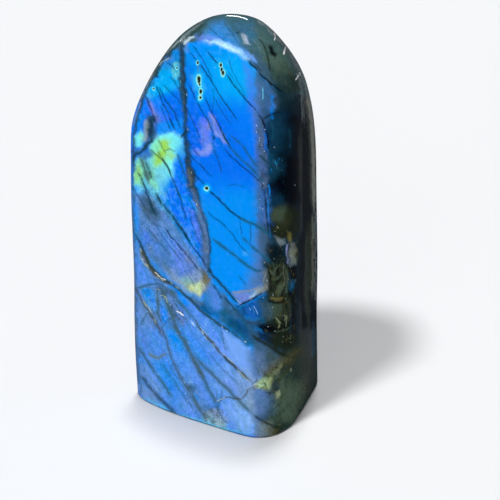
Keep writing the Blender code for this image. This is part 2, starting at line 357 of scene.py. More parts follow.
# The stone below the main crack
LOWER = (
    ("cornflower", 1.0, 4, ((136, 240), (150, 266), (172, 288), (196, 306), (222, 330), (246, 352),
        (262, 366), (264, 444), (120, 444), (120, 250))),
    ("steel blue", 0.75, 4, ((134, 284), (150, 284), (166, 286), (176, 300), (172, 322), (160, 316),
        (146, 300))),
    ("azure", 0.85, 2, ((142, 289), (149, 291), (156.5, 304), (157, 313), (152, 312), (146, 300))),
    ("electric blue", 0.8, 2, ((159, 307), (164, 308), (169, 318), (167, 326), (160, 322))),
    ("azure", 0.8, 3, ((175, 289), (184, 296), (190, 304), (184, 308), (178, 300))),
    ("cornflower", 0.6, 5, ((178, 350), (190, 350), (195, 372), (182, 374))),
    ("slate blue", 0.7, 3, ((168, 300), (178, 306), (188, 318), (182, 326), (172, 318))),
    ("steel blue", 0.5, 5, ((138, 300), (148, 304), (154, 322), (148, 344), (137, 330))),
    ("azure", 0.2, 5, ((144, 330), (158, 336), (164, 350), (150, 350))),
    ("azure", 0.6, 5, ((166, 322), (172, 326), (182, 344), (190, 360), (192, 374), (184, 372),
        (174, 352), (166, 334))),
    ("azure", 0.5, 5, ((180, 328), (190, 334), (204, 350), (212, 364), (204, 366), (194, 354),
        (184, 342))),
    ("azure", 0.35, 6, ((150, 362), (166, 366), (186, 394), (182, 408), (164, 392), (152, 374))),
    ("steel blue", 0.8, 3, ((138, 364), (143, 364), (152, 376), (164, 392), (158, 392), (146, 382),
        (140, 376))),
    ("steel blue", 0.45, 4, ((138, 378), (146, 388), (164, 404), (156, 404), (144, 396))),
    ("cyan blue", 0.35, 3, ((156, 400), (170, 410), (180, 416), (164, 412))),
    ("haze blue", 0.5, 5, ((204, 332), (222, 344), (240, 362), (230, 364), (212, 350))),
    ("haze blue", 0.95, 3, ((222, 329), (238, 338), (250, 350), (254, 366), (250, 378), (238, 366),
        (226, 350))),
    ("slate blue", 0.5, 4, ((246, 352), (254, 352), (256, 378), (252, 382), (248, 370))),
    ("violet blue", 0.4, 5, ((206, 366), (224, 376), (244, 394), (240, 398), (222, 390), (208, 378))),
    ("lilac", 0.3, 5, ((222, 370), (238, 380), (246, 392), (236, 394), (222, 384))),
    ("steel blue", 0.55, 6, ((184, 384), (198, 386), (208, 400), (212, 416), (200, 414), (186, 398))),
    ("haze blue", 0.4, 5, ((180, 396), (192, 398), (200, 414), (188, 414), (178, 406))),
    ("soft teal", 0.7, 1.5, ((187, 384), (195, 383.5), (197, 388), (194, 391.5), (188, 391))),
    ("azure", 0.5, 2, ((192, 394), (200, 396), (199, 402), (194, 401))),
    ("haze blue", 0.9, 6, ((222, 402), (240, 404), (252, 418), (252, 432), (232, 426), (222, 414))),
    ("soft teal", 0.45, 3, ((202, 408), (214, 406), (224, 418), (218, 428), (204, 420))),
    ("pale cyan", 0.55, 2, ((201, 417), (210, 415), (217, 420), (227, 424), (227, 431), (206, 426))),
    ("frost", 0.4, 2, ((214, 419), (220, 419), (226, 424), (226, 428), (216, 425))),
    ("steel blue", 0.8, 3, ((246, 386), (255, 388), (255.5, 408), (248, 408))),
    ("silver", 0.45, 3.5, ((247, 386), (255, 388), (255.5, 408), (249, 408))),
    ("azure", 0.75, 1.8, ((141, 291), (149, 288), (155, 292), (157, 307), (154, 313), (148, 303))),
    ("azure", 0.6, 1.8, ((159, 302), (163, 299), (166, 306), (168, 319), (163, 322), (159, 312))),
    ("azure", 0.6, 1.8, ((177, 293), (182, 295), (188, 306), (186, 311), (180, 304))),
    ("azure", 0.5, 3, ((168, 331), (176, 327), (186, 336), (187, 344), (173, 344))),
    ("slate", 0.7, 2.5, ((157, 281), (166, 285), (176, 292), (176, 298), (164, 295), (157, 290))),
    ("steel blue", 0.5, 3, ((168, 294), (174, 297), (178, 310), (172, 312), (168, 304))),
    ("navy", 0.55, 2.2, ((186, 297), (194, 297), (204, 302), (212, 314), (206, 314), (194, 304))),
    ("slate", 0.5, 2, ((151, 308), (155, 314), (158, 326), (154, 330), (150, 320))),
    ("slate", 0.4, 2, ((168, 320), (174, 318), (180, 326), (172, 330), (166, 330))),
    ("azure", 0.5, 6, ((157, 360), (170, 360), (180, 384), (168, 392), (156, 378))),
    ("azure", 0.5, 5, ((168, 330), (180, 334), (192, 352), (186, 356), (174, 346))),
    ("haze blue", 0.35, 5, ((176, 352), (194, 362), (202, 382), (188, 382))),
    ("haze blue", 0.35, 5, ((146, 366), (158, 372), (170, 396), (160, 402), (148, 390))),
    ("silver", 0.5, 2.5, ((202, 413), (216, 408), (228, 419), (225, 429), (206, 423))),
    ("haze blue", 0.5, 5, ((222, 362), (234, 358), (250, 364), (254, 400), (258, 434), (238, 432),
        (224, 396))),
    ("milk blue", 0.25, 5, ((234, 398), (256, 398), (258, 434), (240, 432))),
    ("milk blue", 0.15, 6, ((206, 366), (230, 366), (236, 392), (214, 396))),
    ("slate", 0.2, 5, ((139, 338), (153, 340), (153, 353), (141, 352))),
    ("haze blue", 0.3, 5, ((206, 372), (224, 374), (232, 396), (216, 396))),
    ("silver", 0.3, 4, ((246, 400), (260, 402), (260, 424), (250, 424))),
    ("silver", 0.3, 5, ((236, 366), (253, 372), (254, 410), (238, 406))),
    ("silver", 0.3, 3, ((248, 376), (258, 377), (260, 388), (250, 388))),
    # lilac triangle, dark blue lens and teal band
    ("dome blue", 0.85, 3.5, ((203, 291), (212, 282), (222, 290), (232, 302), (228, 314), (214, 314),
        (202, 302))),
    ("blue lilac", 0.5, 4, ((208, 290), (214, 287), (220, 297), (222, 308), (214, 308))),
    ("navy", 0.4, 3, ((196, 302), (204, 300), (216, 312), (222, 322), (210, 314))),
    ("olive", 0.45, 2, ((219, 296), (223, 294), (230, 304), (228, 309), (223, 305))),
    ("teal", 0.95, 3, ((216, 312), (228, 307), (240, 313), (252, 325), (262, 336), (260, 348),
        (247, 346), (234, 332), (222, 322))),
    ("deep azure", 0.35, 4, ((226, 314), (236, 314), (250, 328), (256, 342), (250, 344), (236, 328))),
    ("steel blue", 0.9, 1.8, ((232, 292), (243, 290.5), (252, 290), (262, 287), (260, 295), (250, 301),
        (240, 305))),
    ("lilac", 0.5, 3, ((236, 294), (246, 293), (250, 296), (240, 303))),
    ("milk blue", 0.2, 5, ((234, 414), (250, 416), (252, 434), (238, 430))),
    ("silver", 0.25, 6, ((136, 384), (156, 392), (158, 404), (140, 398))),
    ("silver", 0.18, 8, ((138, 296), (160, 300), (160, 322), (140, 322))),
    ("navy", 0.45, 4, ((230, 317), (246, 325), (262, 333), (262, 344), (246, 337), (230, 326))),
    ("slate", 0.5, 4, ((224, 297), (236, 305), (244, 316), (236, 320), (226, 310))),
    ("slate", 0.45, 4, ((248, 327), (260, 329), (261, 342), (250, 340))),
    ("slate", 0.4, 4, ((212, 315), (224, 318), (226, 329), (214, 327))),
    ("silver", 0.25, 4, ((188, 292), (200, 293), (202, 304), (190, 303))),
    ("frost", 0.25, 1.4, ((247, 299), (252, 294), (258, 290), (259, 293), (253, 298))),
    ("pale gold", 0.45, 2.2, ((255, 291), (262, 287.5), (267, 287), (265, 293), (258, 295))),
    ("deep azure", 0.95, 2.2, ((240, 309), (247, 304), (256, 300), (262, 298), (264, 308), (260, 317),
        (252, 318), (244, 314))),
    ("deep electric", 0.3, 2.5, ((242, 311), (248, 307), (256, 312), (254, 320), (247, 318))),
    ("navy", 0.85, 2, ((244, 318), (252, 321), (262, 319), (264, 330), (254, 327), (247, 323))),
    ("dark teal", 0.35, 3, ((240, 307), (262, 298), (264, 310), (262, 332), (246, 324))),
    ("navy", 0.5, 2.5, ((236, 306), (244, 306), (247, 314), (243, 320), (236, 313))),
    ("slate", 0.35, 3, ((243, 317), (254, 319), (262, 318), (262, 326), (248, 327))),
)

# The right corner, with its olive and golden mineral
RIGHT = (
    # the corner: slate, then black down to the olive mineral
    ("dark teal", 1.0, 5, ((274, 88), (290, 94), (340, 78), (340, 450), (262, 450), (264, 240),
        (268, 190), (268, 150), (266, 120), (272, 112))),
    ("slate", 0.85, 4, ((254, 64), (264, 76), (276, 88), (280, 104), (268, 118), (262, 126),
        (260, 108), (256, 84))),
    ("slate blue", 0.5, 3, ((256, 78), (262, 84), (262, 110), (257, 104))),
    ("navy", 0.9, 7, ((274, 112), (286, 104), (300, 100), (312, 98), (313, 230), (268, 240),
        (267, 200), (268, 150), (265, 126))),
    ("ink", 0.95, 8, ((284, 122), (294, 112), (303, 116), (304, 206), (288, 206), (272, 186),
        (271, 168), (278, 142))),
    ("deep green", 0.6, 6, ((276, 92), (292, 92), (300, 98), (300, 112), (284, 112), (274, 100))),
    ("teal", 0.3, 6, ((264, 150), (274, 156), (277, 176), (268, 182), (263, 170))),
    ("teal", 0.3, 9, ((268, 118), (282, 114), (287, 130), (284, 150), (272, 158))),
    ("teal", 0.15, 8, ((286, 124), (292, 124), (293, 154), (287, 158))),
    ("slate", 0.65, 4, ((258, 116), (264, 120), (267, 160), (266, 242), (261, 242), (257, 200),
        (257, 150))),
    ("grey brown", 0.3, 3, ((259, 128), (264, 130), (267, 160), (266, 236), (262, 236), (259, 200),
        (259, 150))),
    # far side
    ("blue black", 0.9, 3, ((300, 90), (330, 86), (330, 330), (303, 330))),
    ("ink", 0.5, 3, ((303, 120), (308, 120), (309, 250), (303, 250))),
    # olive and gold mineral
    ("dark olive", 0.95, 4, ((272, 213), (275, 207), (284, 203), (293, 205), (300, 212), (300, 232),
        (294, 240), (276, 240), (271, 231))),
    ("olive", 0.5, 5, ((278, 209), (286, 207), (292, 214), (291, 226), (284, 232), (278, 226))),
    ("moss", 0.4, 4, ((278, 208), (284, 209), (284, 219), (280, 221))),
    ("slate", 0.75, 4, ((256, 222), (268, 226), (272, 244), (268, 262), (260, 250))),
    ("ink", 0.8, 3, ((268, 242), (282, 246), (284, 258), (276, 264), (266, 256))),
    ("dark olive", 0.95, 5, ((267, 264), (284, 258), (289, 272), (288, 300), (292, 336), (272, 342),
        (266, 320), (267, 290))),
    ("olive", 0.35, 4, ((268, 278), (280, 268), (288, 268), (288, 286), (276, 296), (268, 294))),
    ("ink", 0.5, 2, ((272, 284), (277, 280), (278, 290), (275, 294))),
    ("pale moss", 0.5, 3, ((276, 284), (284, 282), (285, 294), (278, 297))),
    ("tan", 0.4, 3, ((262, 273), (267, 270), (268, 289), (263, 292))),
    ("silver", 0.65, 1.8, ((275, 237), (284, 239), (285, 243.5), (281, 245), (277, 242))),
    ("old gold", 0.9, 1.6, ((287.4, 232), (290.6, 233), (291, 241), (288, 242))),
    ("pale lilac", 0.85, 0.8, ((285.4, 245), (287.2, 245), (287.6, 264), (286.2, 264))),
    ("tan", 0.6, 1.8, ((289, 242), (296, 243), (297, 252), (296, 264), (289.6, 263))),
    ("pale gold", 0.35, 1.8, ((290, 251), (296, 250), (296, 262), (291, 262))),
    ("old gold", 0.5, 1.5, ((295, 246), (298.6, 250), (297, 260), (294.6, 254))),
    ("ink", 0.95, 2, ((287, 265), (297, 266), (298, 296), (291, 304), (286, 296), (289, 284),
        (291, 274))),
    ("tan", 0.5, 2, ((256, 291), (267, 284), (268, 290), (259, 295))),
    ("teal", 0.9, 2.2, ((289, 281), (294, 279), (295.6, 286), (290.6, 292), (288, 289))),
    ("azure", 0.35, 1.2, ((290, 283), (293, 282), (293, 287), (291, 288))),
    ("dull green", 0.9, 4, ((265, 303), (276, 300), (285, 306), (285, 317), (274, 320), (264, 315))),
    ("dull green", 0.5, 4, ((266, 304), (276, 302), (280, 312), (268, 318))),
    ("pale moss", 0.35, 5, ((266, 304), (284, 302), (285, 314), (268, 318))),
    ("moss", 0.6, 5, ((264, 304), (276, 302), (281, 310), (276, 317), (265, 314))),
    ("olive", 0.45, 3, ((270, 294), (288, 296), (291, 303), (284, 306), (274, 301))),
    ("old gold", 0.35, 2, ((273, 297), (282, 298), (286, 303), (278, 302))),
    ("ink", 0.95, 2, ((258, 326), (264, 322), (274, 326), (284, 325), (290, 318), (290, 330),
        (278, 333.5), (264, 332))),
    ("ink", 0.85, 1.5, ((291, 300), (297, 302), (297, 336), (292.6, 334))),
    ("navy", 0.9, 3, ((257, 331), (270, 334), (280, 340), (270, 345), (259, 340))),
    ("dark olive", 0.95, 4, ((270, 338), (296, 332), (302, 350), (288, 354), (274, 347))),
    ("blue black", 0.85, 4, ((297, 236), (306, 232), (306, 345), (299, 345), (297, 300))),
    ("dark teal", 0.6, 5, ((258, 296), (270, 294), (270, 322), (258, 322))),
    ("deep azure", 0.6, 3, ((259, 188), (270, 190), (272, 224), (260, 226))),
    ("steel blue", 0.25, 4, ((260, 192), (268, 192), (270, 224), (261, 224))),
    ("teal", 0.3, 5, ((270, 158), (284, 160), (284, 174), (272, 174))),
    ("dark teal", 0.35, 4, ((260, 110), (272, 110), (272, 126), (261, 125))),
    ("slate", 0.45, 3, ((260, 302), (272, 303), (272, 317), (262, 317))),
    ("silver", 0.3, 1.6, ((287.4, 252), (295, 253), (296, 265), (288, 265))),
    ("pale moss", 0.35, 4, ((271, 208), (284, 208), (284, 220), (273, 221))),
    ("teal", 0.2, 4, ((271, 194), (285, 195), (285, 207), (272, 206))),
    # the corner's foot
    ("dull green", 0.95, 8, ((264, 350), (284, 354), (300, 344), (320, 352), (320, 450), (262, 450),
        (258, 416), (268, 392))),
    ("moss", 0.9, 8, ((274, 386), (290, 374), (298, 392), (292, 420), (272, 434), (260, 430),
        (274, 412))),
    ("pale moss", 0.5, 8, ((276, 392), (288, 386), (292, 400), (284, 416), (274, 412))),
    ("slate", 0.95, 4, ((253, 342), (266, 344), (281, 354), (280, 361), (270, 369), (257, 377),
        (253, 362))),
    ("silver", 0.2, 6, ((254, 354), (266, 356), (268, 368), (258, 374))),
    ("slate blue", 0.6, 3, ((254, 350), (264, 352), (266, 364), (256, 370))),
    ("moss", 0.55, 4, ((268, 350), (282, 355), (278, 363), (270, 364))),
    ("slate blue", 0.95, 6.5, ((253, 390), (267, 390), (273, 398), (272, 410), (264, 418), (254, 414))),
    ("steel blue", 0.4, 6, ((254, 392), (266, 393), (270, 404), (260, 412))),
    ("grey green", 0.4, 6, ((268, 396), (278, 400), (278, 412), (268, 418))),
    # painted light: pale moss that brightens the far side's foot, which turns away from the lamps
    ("pale moss", 0.65, 6, ((290, 384), (306, 376), (306, 402), (292, 424), (284, 420))),
    ("grey brown", 0.4, 5, ((300, 330), (314, 330), (314, 385), (304, 400), (300, 380))),
    ("pale moss", 0.5, 3, ((272, 374), (284, 374), (286, 388), (273, 390))),
    ("navy", 0.6, 2.5, ((271, 381), (277, 378), (280, 384), (278, 392), (271, 392))),
    ("old gold", 0.4, 5, ((258, 376), (268, 367), (282, 358), (298, 349), (302, 350), (290, 362),
        (276, 372), (266, 380))),
    ("olive", 0.6, 3, ((284, 356), (298, 348), (303, 352), (294, 364), (286, 364))),
    ("old gold", 0.9, 2, ((252, 386), (262, 378), (272, 376), (270, 384), (268, 389), (254, 389))),
    ("silver", 0.35, 4, ((255, 382), (266, 375), (268, 388), (256, 389))),
    ("cream", 0.3, 3, ((258, 382), (268, 375), (272, 379), (271, 388), (260, 389))),
    ("pale gold", 0.7, 2.6, ((258, 384), (264, 378), (270, 377), (268, 387), (261, 388))),
    ("spring green", 0.25, 3, ((254, 385), (262, 378), (271, 376), (268, 388), (258, 389))),
    ("ink", 0.35, 0.8, ((262, 384), (265, 382), (266, 385), (263, 386.4))),
    ("ink", 0.35, 0.8, ((256, 386), (258, 385), (259, 387), (257, 388))),
    ("pale gold", 0.35, 2, ((272, 373), (278, 367), (284, 363), (281, 369), (275, 374))),
    ("pale gold", 0.7, 1.2, ((275, 391), (279, 390), (280, 397), (277, 398))),
    ("pale gold", 0.7, 1, ((289, 369), (291, 368), (291.6, 371.6), (289.6, 372.4))),
    ("dark olive", 0.6, 3, ((268, 424), (284, 424), (280, 434), (266, 436))),
    ("old gold", 0.35, 3, ((270, 430), (278, 428), (278, 436), (270, 437))),
    ("slate", 0.4, 3, ((256, 424), (266, 426), (266, 440), (256, 438))),
    ("silver", 0.4, 4, ((256, 423), (271, 422), (272, 436), (258, 438))),
)

# The crown
DOME = (
    ("grey green", 1.0, 1.4, ((150, 60), (160, 46), (172, 46), (182, 45), (190, 42), (203, 42),
        (214, 43.5), (225, 45), (236, 50.5), (247, 59.5), (258, 71), (270, 83.5), (285, 94), (330, 96),
        (330, 0), (120, 0), (120, 120))),
    ("dull green", 0.9, 3, ((176, 42), (188, 31), (200, 22), (206, 24), (196, 34), (184, 44),
        (176, 48))),
    ("dome blue", 0.95, 5, ((203, 33), (210, 24), (222, 20), (230, 28), (238, 38), (244, 48),
        (254, 62), (246, 58), (232, 46), (214, 40))),
    ("azure", 0.25, 4, ((206, 36), (214, 30), (222, 32), (234, 43), (228, 44), (212, 40))),
    ("steel blue", 0.3, 3, ((202, 37), (208, 34.5), (216, 37), (224, 42), (212, 40))),
    ("soft teal", 0.75, 5, ((230, 22), (252, 21), (258, 34), (250, 46), (238, 36))),
    ("moss", 0.5, 7, ((256, 24), (276, 38), (294, 62), (300, 84), (290, 96), (276, 84), (264, 60))),
    ("deep green", 0.7, 3, ((270, 80), (280, 84), (294, 94), (286, 97), (274, 90))),
    ("deep green", 0.6, 7, ((266, 68), (282, 60), (300, 80), (296, 98), (278, 90))),
    ("dark olive", 0.4, 4, ((284, 66), (298, 76), (303, 92), (292, 92))),
    ("pale moss", 0.35, 6, ((266, 56), (284, 54), (292, 74), (276, 74))),
    ("slate", 0.7, 4, ((247, 58), (256, 54), (268, 70), (274, 84), (262, 76))),
    ("cornflower", 0.6, 2, ((243, 52), (248, 52), (257, 62), (257, 66), (250, 60))),
    ("haze blue", 0.5, 2, ((246, 53), (250, 53), (257, 62), (253, 62))),
    ("ink", 0.95, 1.8, ((268.6, 46), (273, 46.4), (275.8, 53), (274, 57.4), (270, 55))),
    ("silver", 0.8, 0.9, ((241.6, 33.4), (246.4, 36), (251, 45.6), (247.6, 43.6), (243.4, 42))),
    ("pale lilac", 0.35, 1.5, ((242.6, 34), (247, 37), (251, 45.6), (246, 42.6))),
    ("ink", 0.8, 1, ((236.4, 32), (239.6, 29), (239, 32), (237, 34))),
    ("blue lilac", 0.55, 3, ((196, 35), (210, 36), (224, 40), (238, 46), (247, 54), (236, 51),
        (222, 46), (200, 43))),
    ("silver", 0.35, 3, ((176, 40), (188, 39), (188, 51), (178, 50))),
    ("ink", 0.6, 1.5, ((197, 36), (201, 31.5), (203, 32.5), (200, 37))),
)

# Thin upright patches at the right
STREAKS = (
    ("azure", 0.6, 1.5, ((270.4, 95), (273.4, 95), (274, 118), (271, 118))),
    ("electric blue", 0.6, 1.5, ((263.6, 132), (266.4, 133), (267, 152), (264.6, 152))),
    ("olive", 0.5, 2, ((308, 222), (312, 222), (313, 290), (309, 290))),
)

# Bands laid along a route: tone, strength, softness, then (x, y, half width) in pixels
BANDS = (
    # the long seam
    ("dark teal", 0.9, 1.7, ((181.4, 45, 3), (182, 58, 3.2), (182.4, 76, 3.4), (183.6, 92, 3.2),
        (184.6, 106, 2.7), (185.6, 122, 2.1), (186.2, 136, 2.2), (187, 150, 2.1), (188, 160, 2.6),
        (190, 172, 4.2), (192, 184, 4), (196, 196, 3), (201, 208, 1.8), (206, 220, 1.2),
        (209, 236, 1.1), (209, 252, 1.2), (208, 270, 1.6))),
    ("olive", 0.45, 1.4, ((182, 50, 0.8), (182.4, 64, 1.2), (183, 80, 1.2), (184, 96, 1),
        (185.6, 112, 0.6))),
    ("soft teal", 0.5, 1.2, ((180, 60, 0.4), (180.6, 76, 0.6), (182.6, 92, 0.8), (184, 106, 0.8),
        (186, 130, 0.8))),
    ("olive", 0.5, 1.4, ((188, 160, 1), (190, 172, 2.2), (192, 184, 1.8), (195, 194, 0.8))),
    ("tan", 0.35, 1.4, ((187, 168, 0.6), (188, 176, 1.8), (191, 184, 1))),
    ("slate blue", 0.7, 2.2, ((192, 190, 1.6), (198, 206, 3), (203, 222, 2.8), (206, 240, 2.6),
        (206, 256, 2.6), (206, 268, 2))),
    ("ink", 0.45, 1.1, ((182.4, 52, 0.6), (183, 66, 0.9), (184.4, 80, 0.7), (185, 94, 0.9),
        (185.4, 112, 0.6))),
    ("ink", 0.5, 1, ((187, 158, 0.5), (186, 170, 0.8), (187.4, 184, 1), (192, 197, 1), (197, 204, 0.6),
        (204, 218, 0.6), (209, 236, 0.7), (209.4, 252, 0.6))),
    ("tan", 0.2, 1.6, ((195, 200, 0.8), (198, 206, 1.4), (203, 226, 0.8), (206, 236, 1.5),
        (206, 252, 1.4))),
    # pale blue light that runs on below the flash
    ("pale cyan", 0.65, 2.2, ((150, 186, 1.6), (156, 195, 2), (162, 205, 1.6), (168, 214, 0.9),
        (174, 222, 0.4))),
    # the bright crescent where the crown bends into the front: partly the stone's pale flash, partly a
    # painted highlight, with a white painted highlight along its core
    ("milk blue", 0.8, 2, ((205, 41.4, 0.7), (213, 42.2, 1.8), (222, 43.8, 2.9), (231, 46.9, 3.6),
        (239, 51.4, 3.3), (245, 56.4, 2.2), (249, 60, 0.8))),
    ("frost", 0.25, 1.4, ((213, 42.6, 0.5), (222, 44.4, 1.2), (231, 47.2, 1.4), (239, 51.6, 0.9))),
    # rims of the stone that turn away: darker dull green and slate along the left rim, silver painted
    # reflections along the crown's left and right rims, tan low on the left rim, and a pale cyan line
    # along the foot's edge, partly the stone's own edge colour and partly painted light over the shaded
    # chamfer
    ("dull green", 0.9, 1.9, ((197, 26, 2), (184, 37, 3.4), (172, 48, 3.4), (161, 62, 2.8),
        (151, 80, 2.4), (143, 97, 1.8), (137, 116, 1.5), (134, 136, 1.3), (133, 160, 1),
        (132.6, 190, 1))),
    ("silver", 0.38, 1.3, ((202, 22, 0.8), (190, 30, 1.1), (178, 41, 1.2), (168, 51.4, 1.2),
        (160, 61, 1.1), (149, 80, 1.2), (140, 100, 1), (133, 125, 0.8))),
    ("silver", 0.5, 1.5, ((258, 22, 1), (272, 31, 1.6), (285, 45, 2), (295, 60, 2.2), (303, 76, 2.2),
        (308, 92, 2.2), (311.6, 112, 1.8), (314, 150, 1.4), (315.2, 200, 0.8), (316, 250, 0.8),
        (316, 300, 0.6))),
    ("slate", 0.75, 1.7, ((133, 190, 1.2), (133.4, 240, 1.4), (135, 300, 2), (136, 340, 2),
        (138, 370, 1.7), (141, 392, 1))),
    ("pale cyan", 0.6, 1.2, ((143, 397, 0.4), (150, 401, 0.8), (170, 411, 0.9), (190, 418, 0.9),
        (210, 424, 0.9), (228, 430, 0.9), (250, 434, 0.6))),
    ("tan", 0.35, 1.2, ((133.6, 290, 0.8), (134.6, 320, 1), (135.6, 345, 0.8))),
)

# How streaked, mottled and sparkling the stone is where nothing else is said
PLAIN_CHARACTER = {"streaked": 0.5, "mottled": 0.0, "sparkling": 0.003}

# Where the stone is streaked, mottled or sparkling: how much, softness, outline
CHARACTER = (
    ("streaked", 0.15, 14, ((188, 60), (262, 60), (262, 290), (212, 290), (196, 190))),
    ("streaked", 0.95, 6, ((132, 150), (170, 130), (188, 160), (208, 250), (206, 290), (180, 290),
        (140, 240))),
    ("mottled", 0.08, 8, ((136, 300), (180, 318), (250, 372), (252, 430), (140, 400))),
    ("streaked", 0.72, 6, ((134, 240), (262, 360), (262, 440), (130, 420))),
    ("streaked", 0.15, 4, ((224, 332), (240, 340), (254, 356), (254, 378), (238, 366))),
    ("streaked", 0.6, 8, ((262, 60), (330, 60), (330, 440), (262, 440))),
    ("streaked", 0.3, 5, ((134, 132), (184, 130), (186, 158), (168, 186), (150, 190), (134, 186))),
    ("streaked", 0.8, 5, ((192, 112), (216, 112), (228, 144), (206, 156), (190, 156))),
    ("mottled", 0.8, 4, ((268, 262), (290, 258), (293, 300), (291, 336), (272, 338), (267, 300))),
    ("mottled", 0.4, 6, ((272, 234), (300, 234), (300, 350), (272, 356), (264, 330), (266, 250))),
    ("mottled", 0.35, 6, ((262, 350), (304, 340), (318, 380), (290, 430), (262, 436), (270, 390))),
    ("mottled", 0.2, 6, ((196, 40), (246, 20), (280, 40), (300, 60), (304, 100), (282, 94), (262, 74),
        (236, 48))),
    ("mottled", 0.3, 2.5, ((179, 46), (186, 46), (187, 60), (189, 150), (198, 186), (210, 230),
        (210, 270), (202, 262), (184, 180), (181, 100))),
    ("mottled", 0.6, 3, ((138, 286), (150, 290), (166, 288), (178, 302), (190, 318), (182, 326),
        (160, 316))),
    ("mottled", 0.8, 2, ((250, 386), (268, 371), (296, 350), (302, 350), (288, 368), (270, 390),
        (282, 398), (272, 400), (262, 390))),
    ("mottled", 0.5, 3, ((198, 268), (207, 270), (210, 284), (202, 286))),
    ("mottled", 0.5, 2, ((150, 284), (140, 262), (138, 248), (146, 256), (156, 274), (170, 284))),
    ("mottled", 0.6, 3, ((200, 408), (216, 404), (228, 418), (224, 430), (204, 424))),
    ("mottled", 0.35, 4, ((134, 158), (146, 156), (164, 176), (160, 200), (140, 200))),
    ("mottled", 0.5, 3, ((256, 120), (266, 120), (270, 200), (264, 240), (258, 200))),
    ("mottled", 0.4, 1.5, ((186, 383), (196, 383), (196, 392), (187, 392))),
    ("sparkling", 0.35, 3, ((186, 316), (198, 322), (212, 336), (222, 352), (216, 356), (200, 342),
        (188, 328))),
    ("sparkling", 0.75, 3, ((200, 410), (216, 412), (228, 420), (226, 430), (204, 424))),
    ("sparkling", 0.5, 3, ((187, 280), (202, 280), (202, 294), (190, 292))),
    ("sparkling", 0.4, 3, ((257, 128), (266, 130), (268, 200), (262, 216), (258, 190), (258, 160))),
    ("sparkling", 0.3, 3, ((272, 156), (286, 156), (286, 170), (276, 170))),
    ("sparkling", 0.3, 3, ((194, 196), (200, 200), (200, 210), (195, 208))),
    ("sparkling", 0.2, 3, ((148, 244), (164, 244), (172, 262), (160, 264))),
    ("sparkling", 0.15, 4, ((148, 288), (184, 300), (184, 318), (160, 326), (142, 300))),
    ("sparkling", 0.12, 4, ((264, 240), (290, 240), (290, 350), (264, 340))),
    ("sparkling", 0.3, 3, ((250, 386), (272, 372), (276, 396), (266, 392))),
    ("sparkling", 0.06, 6, ((160, 330), (230, 340), (250, 400), (200, 420), (150, 380))),
)
